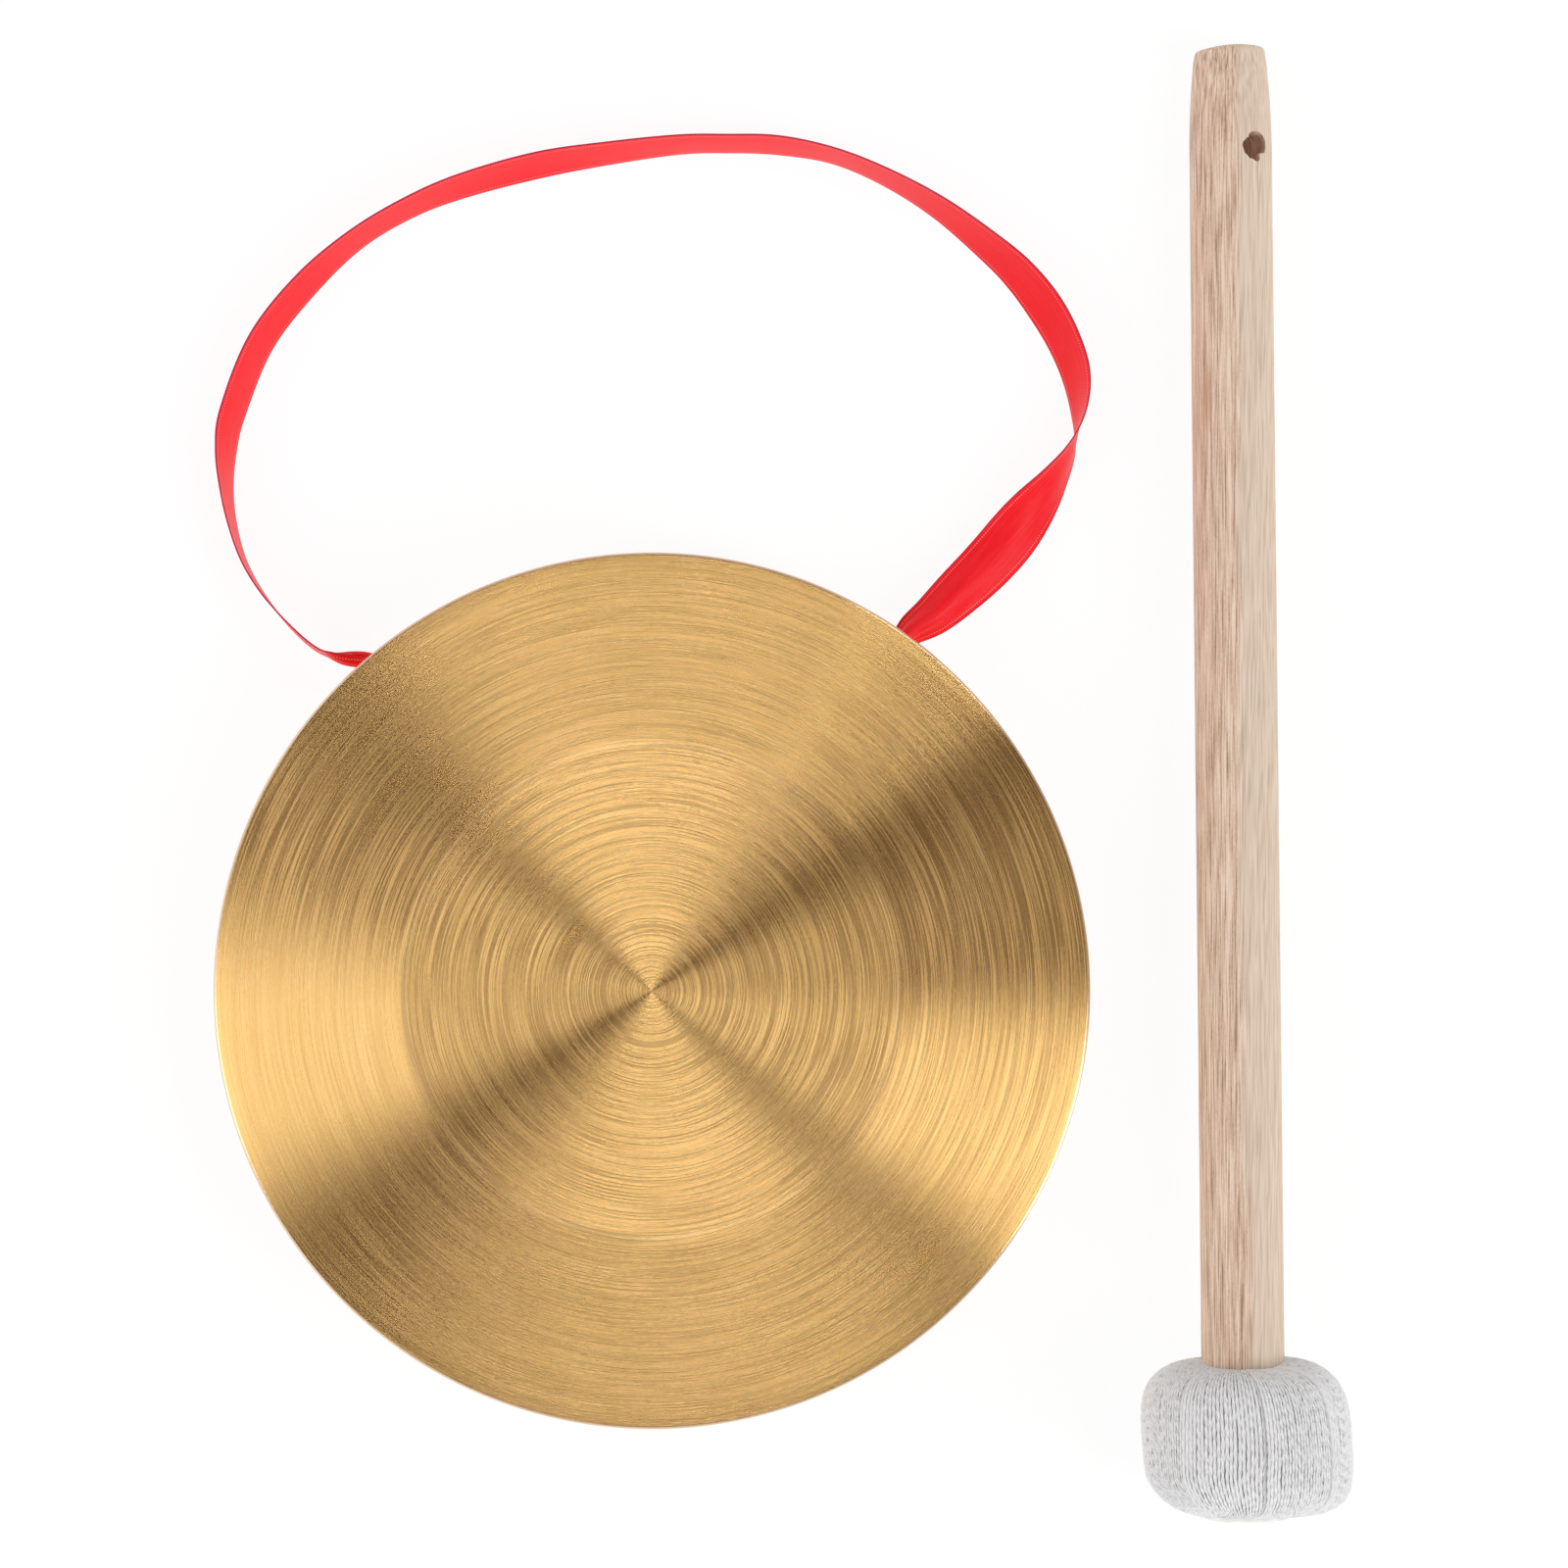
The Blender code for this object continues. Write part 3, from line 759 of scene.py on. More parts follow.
@dataclass(frozen=True)
class CottonYarn:
    """Twisted two-ply cotton, with painted shade in its grooves. Its UV counts strands across, and strand
    pitches along.
    """

    colour: tuple = (0.885, 0.89, 0.90)
    # The colour of the painted shade between strands and in the ply grooves.
    painted_gap_shade: tuple = (0.31, 0.315, 0.32)

    def make(self) -> Finish:
        """Builds the material.

        Returns:
            The material.
        """
        sockets = {"Roughness": 0.85, "Specular IOR Level": 0.15, "Sheen Weight": 0.2, "Sheen Roughness": 0.5}
        recipe = Recipe("cotton_yarn", sockets)
        lay = recipe.lay()
        across, along, _ = recipe.split(lay)
        # Painted shade: the yarn darkens towards the edges of each strand and in the grooves between its
        # plies, where the strands and plies shade each other.
        middle = recipe.apart(recipe.maths("FRACT", across), 0.5)
        slanted = recipe.join(recipe.part(across, along, 0.3), along, 0.0)
        fibres = recipe.grain(slanted, 3.0, 0.6, (6.0, 1.0, 0.0))
        dashes = recipe.level(recipe.grain(lay, 1.0, 0.5, (0.9, 0.2, 0.0)), 0.42, 0.62)
        strand = {"W": recipe.maths("FLOOR", across)}
        number = recipe.add("TexWhiteNoise", strand, "Value", noise_dimensions="1D")
        offset = recipe.maths("ADD", across, number)
        ply = recipe.maths("FRACT", recipe.part(offset, along, -0.36))
        ply_groove_shade = recipe.times(recipe.level(recipe.apart(ply, 0.5), 0.34, 0.48), 0.34)
        bundle = recipe.maths("FRACT", recipe.maths("DIVIDE", across, BUNDLE_STRIDE))
        # The loose first strands of each bundle get less of the painted shade.
        loose = recipe.level(bundle, 0.02, 0.12, 0.25, 1.0)
        painted_shade = recipe.maths("MAXIMUM", recipe.times(recipe.level(middle, 0.27, 0.46), dashes), ply_groove_shade)
        # Painted shadow where each bundle runs under the edge of the next.
        tuck_shadow = recipe.level(bundle, 0.525, 0.54, 0.0, 0.55)
        painted_shade = recipe.maths("MAXIMUM", recipe.times(painted_shade, loose), tuck_shadow)
        wool = recipe.stops(fibres, (0.3, (0.86, 0.86, 0.86)), (0.65, (1.0, 1.0, 1.0)))
        shade = recipe.mix(1.0, recipe.mix(painted_shade, self.colour, self.painted_gap_shade), wool, "MULTIPLY")
        return recipe.finished(shade, fibres, 0.06 * MM, 0.6)


@dataclass(frozen=True)
class DriedGlue:
    """Clear glue that has dried milky and glossy, with small waves."""

    def make(self) -> Finish:
        """Builds the material.

        Returns:
            The material.
        """
        sockets = {"Roughness": 0.12, "Coat Weight": 0.6, "Coat Roughness": 0.06, "Subsurface Weight": 0.15}
        recipe = Recipe("dried_glue", {**sockets, "Subsurface Scale": 1.0 * MM})
        cloud = recipe.grain(recipe.place(), 2.0, scale=420.0)
        tone = recipe.stops(cloud, (0.3, (0.60, 0.60, 0.57)), (0.7, (0.82, 0.82, 0.79)))
        return recipe.finished(tone, cloud, 0.25 * MM, 0.5)


# ---- studio


@dataclass(frozen=True)
class Softbox:
    """One softbox, by its direction and angular size as seen from the gong, in degrees."""

    name: str
    azimuth: float
    zenith: float
    width: float
    height: float
    radiance: float
    distance: float = 5.0

    def hang(self) -> None:
        """Adds the lamp, aimed at the gong's centre."""
        azimuth, zenith = radians(self.azimuth), radians(self.zenith)
        away = Vector((sin(zenith) * cos(azimuth), sin(zenith) * sin(azimuth), cos(zenith)))
        level = Vector((-sin(azimuth), cos(azimuth), 0.0))
        object_mode()
        bpy.ops.object.light_add(type="AREA")
        lamp = bpy.context.object
        lamp.name = self.name
        place = Matrix.Translation(GONG_CENTRE + away * self.distance)
        lamp.matrix_world = place @ turned(level, away.cross(level), away)
        lamp.data.shape = "RECTANGLE"
        lamp.data.size = 2.0 * self.distance * tan(radians(self.width) / 2.0)
        lamp.data.size_y = 2.0 * self.distance * tan(radians(self.height) / 2.0)
        lamp.data.energy = pi * lamp.data.size * lamp.data.size_y * self.radiance
        lamp.visible_camera = False


@dataclass
class Studio:
    """The camera, the pale floor, the dim ceiling with its brighter horizon, and five softboxes."""

    camera_place: tuple = (0.0003, -0.000467, 1.5)
    lens: float = 192.3
    floor_size: float = 60.0
    floor_shine: float = 0.88
    horizon: float = 0.95
    brighter_side: tuple = (-0.42, -0.15, 0.0)
    ceiling: tuple = (0.045, 0.008, 0.0)
    softboxes: list = field(
        default_factory=lambda: [
            Softbox("softbox_top", 99.1, 7.4, 11.4, 3.0, 6.8),
            Softbox("softbox_bottom", 270.2, 6.3, 7.5, 3.0, 7.6),
            Softbox("softbox_left", 192.6, 36.3, 15.5, 40.1, 2.9),
            Softbox("softbox_right", 337.3, 49.2, 20.1, 50.0, 4.8),
            Softbox("softbox_corner", 49.9, 34.0, 14.0, 6.7, 9.8),
        ]
    )

    def set_camera(self) -> None:
        """Puts the camera straight above the set, with +Y at the top of the picture."""
        object_mode()
        bpy.ops.object.camera_add(location=self.camera_place, rotation=(0.0, 0.0, 0.0))
        camera = bpy.context.object
        camera.name = "camera"
        camera.data.lens = self.lens
        camera.data.sensor_width = 36.0
        camera.data.clip_start = 0.05
        camera.data.clip_end = 200.0
        bpy.context.scene.camera = camera

    def lay_floor(self) -> None:
        """Lays the floor of mottled background paper, which looks white and keeps a soft shadow."""
        object_mode()
        bpy.ops.mesh.primitive_circle_add(vertices=64, radius=self.floor_size / 2.0, fill_type="TRIFAN")
        floor = bpy.context.object
        floor.name = "studio_floor"
        floor.location.z = -0.05 * MM
        recipe = Recipe("studio_paper", {"Roughness": 0.9, "Specular IOR Level": 0.0})
        light = recipe.tree.nodes.new("ShaderNodeLightPath").outputs
        seen = recipe.maths("MAXIMUM", light["Is Camera Ray"], light["Is Glossy Ray"])
        seen = recipe.maths("MAXIMUM", seen, light["Is Transmission Ray"])
        glow = recipe.add("Emission", {"Color": (1.0, 1.0, 1.0), "Strength": 1.03})
        mottle = recipe.grain(recipe.place(), 2.0, scale=30.0)
        tone = recipe.stops(mottle, (0.3, (0.965, 0.965, 0.965)), (0.7, (0.985, 0.985, 0.985)))
        recipe.feed(recipe.shader, "Base Color", tone)
        share = recipe.times(seen, self.floor_shine)
        mixed = recipe.add("MixShader", {0: share, 1: recipe.shader.outputs[0], 2: glow})
        recipe.feed(recipe.tree.nodes["Material Output"], "Surface", mixed)
        dress(floor, recipe.material)

    def light_world(self) -> None:
        """Makes the world dim overhead and brighter towards the horizon."""
        world = bpy.context.scene.world = bpy.data.worlds.new("studio_room")
        room = Nodes(world)
        spot = room.add("TexCoord", {}, "Generated")
        band = room.level(room.split(spot)[2], 0.64, 0.70, 1.0, 0.0)
        side = room.vector("DOT_PRODUCT", spot, self.brighter_side, output="Value")
        glow = room.part(self.horizon, side, self.horizon)
        room.feed(room.tree.nodes["Background"], "Color", room.mix(band, self.ceiling, glow))

    def build(self) -> None:
        """Sets up the whole studio."""
        self.set_camera()
        self.lay_floor()
        self.light_world()
        for softbox in self.softboxes:
            softbox.hang()
        bpy.context.scene.view_settings.view_transform = "Standard"


# ---- ribbon


# The loop from the right hole round to the left one: x and y from the gong's centre in millimetres,
# the lean of the ribbon out of upright in degrees, outward positive, and the lift of its lower edge.
ROUTE = (
    (44.2, 61.8, -88, 8.2), (46.3, 64.1, -88, 8.2), (50.2, 66.75, -85, 7.6), (54.9, 71.1, -87, 6.6),
    (59.4, 75.5, -88, 5.6), (63.4, 79.9, -80, 4.2), (67.5, 85.0, -58, 2.2), (71.5, 90.5, -32, 0.7),
    (74.8, 96.5, -10, 0.1), (76.1, 103.0, 13, 0), (75.6, 109.6, 28, 0), (73.3, 115.9, 34, 0),
    (70.0, 121.7, 37, 0), (65.9, 127.0, 34, 0), (61.2, 131.5, 29, 0), (51.7, 139.0, 20, 0),
    (42.0, 144.7, 14, 0), (32.3, 148.7, 12, 0), (22.4, 150.6, 15, 0), (13.0, 150.9, 14.5, 0),
    (4.4, 150.7, 15.5, 0), (-7.9, 149.2, 19, 0), (-20.4, 147.1, 23, 0), (-33.7, 143.5, 21, 0),
    (-43.4, 139.6, 17.5, 0), (-53.1, 133.8, 17.5, 0), (-62.1, 125.7, 23, 0), (-70.1, 115.4, 24, 0),
    (-75.1, 103.0, 23, 0), (-76.3, 96.3, 18, 0), (-76.2, 89.5, 10, 0), (-75.1, 82.8, 5, 0.1),
    (-73.0, 76.3, 2, 0.5), (-69.6, 70.5, 0, 1.3), (-65.2, 65.2, -3, 2.5), (-60.4, 60.9, -4, 3.3),
    (-56.3, 59.1, -4, 3.7), (-51.6, 58.5, -6, 3.8), (-49.3, 58.0, -8, 3.8),
)

# The middle line of a ribbon end in the frame of its hole, from the neck through the knot to the cut
# end, and half the ribbon's width there, in millimetres.
KNOT = (
    (0, 0, 0.5, 1.2), (0, 0, -0.2, 2.2), (0, 0.1, -1.4, 2.2), (-1.4, 0.9, -3, 2), (-2.9, 0.3, -5, 2.2),
    (-1.6, -1.6, -7, 2.2), (1.2, -2.5, -6.6, 2.2), (2.8, -0.6, -4.4, 2.2), (1.8, 2.2, -3, 2.2),
    (-0.6, 2.8, -4.4, 2.2), (-1.8, 1, -7, 2.1), (-0.2, -1, -8, 2), (2.2, -1.1, -6.6, 2),
    (4.6, -1.4, -5.5, 2.2), (8, -2.2, -6, 2.4), (12, -3.2, -7, 2.5), (15.5, -4.1, -8.2, 2.6),
)


@dataclass
class Station:
    """One place along the ribbon, with the directions across it and out of it."""

    distance: float
    centre: Vector
    across: Vector
    out: Vector


@dataclass
class RibbonLoop:
    """The satin ribbon between the two rim holes, gathered where it enters them."""

    width: float = 10.0 * MM
    thickness: float = 0.28 * MM
    solid_thickness: float = 0.6 * MM
    hinge_reach: float = 79.4 * MM
    bending: float = 9.0 * MM
    step: float = 0.5 * MM
    route_parts: int = 24
    threads: int = 48
    right_root: float = 2.2 * MM
    left_root: float = 1.9 * MM
    length: float = 0.0

    def rest_height(self, lean: float) -> float:
        """How high the ribbon's middle is when its lower edge touches the table."""
        return (self.width - self.solid_thickness) / 2.0 * abs(cos(lean)) + self.solid_thickness / 2.0

    def stations(self) -> list:
        """Places a step apart along the smooth curve through the route.

        Returns:
            The stations, from the right hole to the left one.
        """
        route = [(Vector((x, y)) * MM, radians(lean), lift * MM) for x, y, lean, lift in ROUTE]
        dense = flowing(route, self.route_parts)
        spots = [GONG_CENTRE + Vector((*at, lift + self.rest_height(lean))) for at, lean, lift in dense]
        walked = walk(spots)
        self.length = walked[-1]
        placed = []
        for distance, index, share in evenly(walked, round(self.length / self.step)):
            lean = dense[index][1] + (dense[index + 1][1] - dense[index][1]) * share
            placed.append((distance, spots[index].lerp(spots[index + 1], share), lean))
        made = []
        for number, (distance, centre, lean) in enumerate(placed):
            before, after = neighbours(placed, number, 2)
            along = (after[1] - before[1]).normalized()
            outside = along.cross(UP).normalized()
            across = outside.cross(along) * cos(lean) + outside * sin(lean)
            made.append(Station(distance, centre, across, along.cross(across)))
        return made

    def half_width(self, distance: float, right: bool) -> float:
        """Half the ribbon's width at a distance from its nearer end.

        Args:
            distance: How far along the ribbon the end is.
            right: Whether it is the right end, which spreads sooner.

        Returns:
            The half width in metres.
        """
        if right:
            root, spread = self.right_root, 1.0 - exp(-max(distance - 1.0 * MM, 0.0) / (8.7 * MM))
        else:
            root, spread = self.left_root, eased((distance - 1.2 * MM) / (8.0 * MM))
        return root + (self.width / 2.0 - root) * spread

    def section(self, half: float, folds: float, phase: float, cup: float) -> list:
        """The ribbon's middle line across, folded into pleats where it is narrower than the cloth.

        Args:
            half: Half the width that it has here.
            folds: How many pleats the whole width makes.
            phase: Where the first pleat starts, in radians.
            cup: How far the middle stands out of the line between the edges.

        Returns:
            Points of (across, out) in metres, with the cloth's own width kept along them.
        """
        share = min(half * 2.0 / self.width, 1.0)
        swing = 2.0 * sqrt(max(1.0 - share, 0.0)) * (1.0 + 0.14 * (1.0 - share))
        count = self.threads
        across, out, points = 0.0, 0.0, [(0.0, 0.0)]
        for number in range(count):
            turn = swing * cos(tau * folds * (number + 0.5) / count + phase)
            across += self.width / count * cos(turn)
            out += self.width / count * sin(turn)
            points.append((across, out))
        middle, lift = across / 2.0, sum(point[1] for point in points) / len(points)
        bowed = []
        for number, (place, rise) in enumerate(points):
            run = 2.0 * number / count - 1.0
            bowed.append((place - middle, rise - lift + cup * (1.0 - run * run)))
        return bowed

    def row(self, place: Station) -> tuple:
        """The skin round the ribbon at one station.

        Args:
            place: The station.

        Returns:
            The points in metres, and their UV.
        """
        right = place.distance < self.length / 2.0
        half = self.half_width(min(place.distance, self.length - place.distance), right)
        folds, phase = (1.0, -pi / 2.0) if right else (1.5, 0.4)
        cup = 0.35 * MM * noise.noise(Vector((place.distance * 38.0, 4.3, 0.7)))
        line = self.section(half, folds, phase, cup)
        sides, uvs = ([], []), []
        for number, (across, out) in enumerate(line):
            before, after = neighbours(line, number)
            run = Vector((after[0] - before[0], after[1] - before[1])).normalized() * self.thickness / 2.0
            for side, shift in zip(sides, (run, -run)):
                side.append(place.centre + place.across * (across - shift.y) + place.out * (out + shift.x))
            uvs.append((place.distance * PER_CM, number / self.threads))
        return sides[0] + sides[1][::-1], uvs + uvs[::-1]

    def bend_at_holes(self, loop: Piece) -> None:
        """Bakes the loop's place into its mesh. The point midway between the holes is worked out but not
        used.

        Args:
            loop: The ribbon between the holes.
        """
        left, right = (GONG_CENTRE + side.outward() * self.hinge_reach for side in Side)
        middle = (left + right) / 2.0
        middle.z = HOLE_HEIGHT
        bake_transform(loop)

    def build(self, face: Finish, back: Finish, knots: list) -> None:
        """Args:
            face: The finish of its outer face.
            back: The finish of its inner face.
            knots: The pieces that go with it, not used.
        """
        places = self.stations()
        loop = skin("ribbon_satin", *zip(*(self.row(place) for place in places)))
        count = 2 * (self.threads + 1)
        for polygon in loop.data.polygons:
            corners = [vertex % count for vertex in polygon.vertices]
            outer = max(corners) <= self.threads or (min(corners), max(corners)) == (0, count - 1)
            polygon.material_index = 0 if outer else 1
        smooth(loop, 60.0)
        dress(loop, face, back)
        self.bend_at_holes(loop)
        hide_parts("ribbon_loop")
        LOG.info("ribbon_satin: %.1f mm long", self.length / MM)


@dataclass
class RibbonEnd:
    """One end of the ribbon: its neck in the rim hole, the overhand knot inside, and the cut tail."""

    side: Side
    fold_thickness: float = 1.3 * MM
    neck_fullness: float = 2.3
    neck_half: float = 2.2 * MM
    parts: int = 10
    sides: int = 40

    def line(self) -> list:
        """The middle line and half the width along it, with the right knot the mirror of the left."""
        way = -1.0 if self.side is Side.LEFT else 1.0
        return flowing([(Vector((x * way, y, z)) * MM, half * MM) for x, y, z, half in KNOT], self.parts)

    def build(self, satin: Finish) -> Piece:
        """Makes the end as one folded strip.

        Args:
            satin: The finish of the ribbon's face.

        Returns:
            The piece.
        """
        line = self.line()
        place = Matrix.Translation(GONG_CENTRE) @ self.side.place()
        normal = Vector((0.0, 1.0, 0.0))
        rows, cells, walked = [], [], walk([centre for centre, _ in line])
        for number, (centre, half) in enumerate(line):
            before, after = neighbours(line, number)
            along = (after[0] - before[0]).normalized()
            normal = (normal - along * normal.dot(along)).normalized()
            across = along.cross(normal)
            near_hole = eased((centre.z + 3.0 * MM) / (2.0 * MM)) * min(half / self.neck_half, 1.0)
            thick = self.fold_thickness / 2.0 * (1.0 + self.neck_fullness * near_hole)
            row, uvs = [], []
            for turn in range(self.sides):
                angle = tau * turn / self.sides
                pleat = 1.0 + 0.10 * cos(7.0 * angle + 0.06 * number)
                offset = across * (half * cos(angle) * pleat) + normal * (thick * sin(angle) * pleat)
                row.append(place @ (centre + offset))
                uvs.append((walked[number] * PER_CM, 0.5 + 0.42 * cos(angle)))
            rows.append(row)
            cells.append(uvs)
        name = self.side.name.lower()
        knot = skin("ribbon_end_" + name, rows, cells)
        smooth(knot, 60.0)
        dress(knot, satin)
        hand_over(knot, Body.GONG, "ribbon_knot_" + name)
        return knot


# ---- gong


@dataclass
class Gong:
    """The spun brass bowl, face up on its lip, with two drilled rim holes."""

    radius: float = 77.5 * MM
    height: float = 22.0 * MM
    crease: float = 44.5 * MM
    crease_width: float = 3.0 * MM
    middle_slope: float = radians(0.3)
    face_slope: float = radians(3.82)
    edge_bend: float = 0.6 * MM
    edge_steps: int = 14
    rim_slope: float = radians(6.0)
    rim_steps: int = 6
    lip_bevel: float = 0.18 * MM
    hole: float = 5.0 * MM
    burr: float = 1.16
    segments: int = 288

    def outline(self) -> list:
        """The outer skin from near the axis to the lip.

        Returns:
            Points of (radius, height).
        """
        bend_radius = self.radius - self.edge_bend
        spots = [1.0, 3.0, 7.0, 12.0, 18.0, 24.0, 30.0, 36.0, 40.0]
        spots += [42.5 + 0.4 * number for number in range(11)]
        spots += [50.0, 54.0, 58.0, 62.0, 66.0, 70.0, 74.0]
        radii = [spot * MM for spot in spots] + [bend_radius + self.edge_bend * sin(self.face_slope)]
        points, level, last = [], self.height, 0.0
        for radius in radii:
            share = eased(((radius + last) / 2.0 - self.crease) / self.crease_width + 0.5)
            slope = self.middle_slope + (self.face_slope - self.middle_slope) * share
            level -= (radius - last) * tan(slope)
            points.append((radius, level))
            last = radius
        bend_height = level - self.edge_bend * cos(self.face_slope)
        start, end = pi / 2.0 - self.face_slope, -self.rim_slope
        for step in range(1, self.edge_steps + 1):
            angle = start + (end - start) * step / self.edge_steps
            across, up = self.edge_bend * cos(angle), self.edge_bend * sin(angle)
            points.append((bend_radius + across, bend_height + up))
        wall_radius, wall_height = points[-1]
        for step in range(1, self.rim_steps + 1):
            down = wall_height * step / self.rim_steps
            points.append((wall_radius - down * tan(self.rim_slope), wall_height - down))
        return points

    def build(self, brass: Finish) -> None:
        """Spins the bowl, gives the sheet its thickness, rounds the lip and drills the holes.

        Args:
            brass: Its finish.
        """
        bowl = lathe("gong_spun_bowl", self.outline(), self.segments)
        if bowl.data.polygons[0].normal.z < 0.0:
            bowl.data.flip_normals()
        change(bowl, "SOLIDIFY", thickness=BRASS_SHEET, offset=-1.0, use_even_offset=True)
        rounding = {"limit_method": "ANGLE", "angle_limit": radians(60.0)}
        change(bowl, "BEVEL", width=self.lip_bevel, segments=2, **rounding)
        for side in Side:
            rings = ((0.4 * MM, self.burr), (2.0 * MM, 1.0))
            drill = drill_bit(32, self.hole / 2.0, 6.0 * MM, 3.2 * MM, rings)
            put(drill, side.place())
            cut(bowl, drill)
        put(bowl, Matrix.Translation(GONG_CENTRE))
        smooth(bowl, 32.0)
        dress(bowl, brass)
        hand_over(bowl, Body.GONG, "gong_bowl")


# ---- mallet


@dataclass
class Mallet:
    """The dowel, the yarn head and the dab of glue, modelled upright and then laid down.

    In the mallet's own frame Z runs from the foot of the head to the end of the grip. When it lies on
    the table, Y points up and X points to the gong.
    """

    length: float = 262.8 * MM
    handle_radius: float = 7.35 * MM
    taper: float = 19.0 * MM
    narrowing: float = 1.15 * MM
    end_round: float = 0.8 * MM
    end_slant: float = 0.085
    crown: float = 0.6 * MM
    foot: float = 3.1 * MM
    hang_from_end: float = 18.85 * MM
    hang_turn: float = radians(34.4)
    hang_radius: float = 2.5 * MM
    # The torn rim of the hang hole: angles in degrees, and the share of the radius there.
    torn_rim: tuple = (
        (0, 1.02), (30, 1.04), (60, 1.02), (90, 1.05), (112, 1.02), (126, 0.97), (134, 0.80), (143, 0.93),
        (151, 0.86), (160, 1.0), (180, 1.04), (197, 0.98), (212, 1.06), (226, 0.97), (240, 1.05),
        (256, 0.98), (270, 1.10), (284, 1.15), (292, 1.0), (299, 0.72), (309, 0.66), (319, 0.76),
        (331, 0.96), (345, 0.98), (360, 1.02),
    )
    # The dab of glue: its radius and height in millimetres.
    glue_outline: tuple = (
        (1.2, 0.1), (3.0, 0.14), (5.0, 0.28), (6.6, 0.55), (7.6, 0.95), (7.9, 1.3), (7.7, 1.6), (7.4, 1.9),
        (7.2, 2.6), (5.0, 2.75), (2.0, 2.8), (0.0, 2.8),
    )

    def place(self) -> Matrix:
        """The frame of the lying mallet.

        Returns:
            Where the mallet's own frame lies.
        """
        along = Vector((-0.007496, 0.998734, -0.04975)).normalized()
        upward = along.cross(Vector((-0.999972, -0.007505, 0.0))).normalized()
        at_foot = Matrix.Translation(Vector((81.7, -131.1374, 19.5971)) * MM)
        return at_foot @ turned(upward.cross(along), upward, along)

    def handle_outline(self) -> list:
        """The dowel from its foot to the middle of its rounded grip end.

        Returns:
            Points of (radius, height).
        """
        top = self.length - self.crown
        body = top - self.taper - self.foot
        points = [(self.handle_radius, self.foot + body * step / 12) for step in range(13)]
        for step in range(1, 11):
            depth = self.taper - (self.taper - self.end_round) * step / 10.0
            narrower = self.narrowing * (1.0 - depth / self.taper) ** 2
            points.append((self.handle_radius - narrower, top - depth))
        flat = points[-1][0] - self.end_round
        for step in range(1, 7):
            angle = radians(15.0 * step)
            points.append((flat + self.end_round * cos(angle), top - self.end_round * (1.0 - sin(angle))))
        for share in (0.75, 0.5, 0.25, 0.0):
            points.append((flat * share, top + self.crown * (1.0 - share * share)))
        return points

    def torn_share(self, angle: float) -> float:
        """How far the torn rim of the hang hole stands in or out.

        Args:
            angle: The angle about the hole, in degrees.

        Returns:
            The share of the radius.
        """
        for (low, near), (high, far) in zip(self.torn_rim, self.torn_rim[1:]):
            if low <= angle <= high:
                share = near + (far - near) * (angle - low) / (high - low)
        return share

    def hang_drill(self) -> Piece:
        """The cutter of the hang hole, ragged where the drill tore the grain.

        Returns:
            The cutter, in the mallet's own frame.
        """
        drill = drill_bit(48, self.hang_radius, 15.0 * MM, 2.0 * MM, ((0.7 * MM, 1.0), (4.0 * MM, 1.0)))
        for vertex in drill.data.vertices:
            if vertex.co.z >= 6.0 * MM:
                vertex.co.xy *= self.torn_share(degrees(atan2(vertex.co.y, vertex.co.x)) % 360.0)
        across = Vector((-sin(self.hang_turn), cos(self.hang_turn), 0.0))
        put(drill, Matrix.Translation(UP * (self.length - self.hang_from_end)) @ upright(across))
        return drill

    def build_handle(self, wood: Finish, bored: Finish) -> None:
        """Turns the dowel, slants its end a little and drills the hang hole.

        Args:
            wood: The finish outside.
            bored: The finish inside the hole.
        """
        handle = lathe("mallet_dowel", self.handle_outline(), 120)
        for vertex in handle.data.vertices:
            share = eased((vertex.co.z - (self.length - 3.0 * MM)) / (2.0 * MM))
            vertex.co.z -= share * self.end_slant * max(vertex.co.x + 1.7 * MM, 0.0)
        dress(handle, wood)
        drill = self.hang_drill()
        dress(drill, bored)
        cut(handle, drill, material_mode="TRANSFER")
        put(handle, self.place())
        smooth(handle, 32.0)
        hand_over(handle, Body.MALLET, "mallet_handle")

    def build_seal(self, glue: Finish) -> None:
        """Makes the domed dab of glue at the foot of the head.

        Args:
            glue: Its finish.
        """
        seal = lathe("glue_dab", [(radius * MM, height * MM) for radius, height in self.glue_outline], 64)
        for vertex in seal.data.vertices:
            ripple = noise.noise(vertex.co * 260.0)
            if vertex.co.z < 2.0 * MM:
                vertex.co.xy *= 1.0 + 0.035 * ripple
                vertex.co.x -= 0.5 * MM
                vertex.co.z += 0.06 * MM * ripple * (1.0 if vertex.co.z > 0.3 * MM else 0.5)
        put(seal, self.place())
        smooth(seal, 50.0)
        dress(seal, glue)
        hand_over(seal, Body.MALLET, "head_end_seal")

    def build(self) -> None:
        """Makes the dowel, the seal and the yarn head, and dresses the hidden core."""
        self.build_handle(DowelWood(self.place()).make(), BoredWood().make())
        self.build_seal(DriedGlue().make())
        YarnHead().build(self.place(), CottonYarn().make())
        core = BoredWood("core_wood", (0.40, 0.28, 0.18), (0.58, 0.44, 0.30), 400.0)
        dress(bpy.data.objects["mallet_core"], core.make())


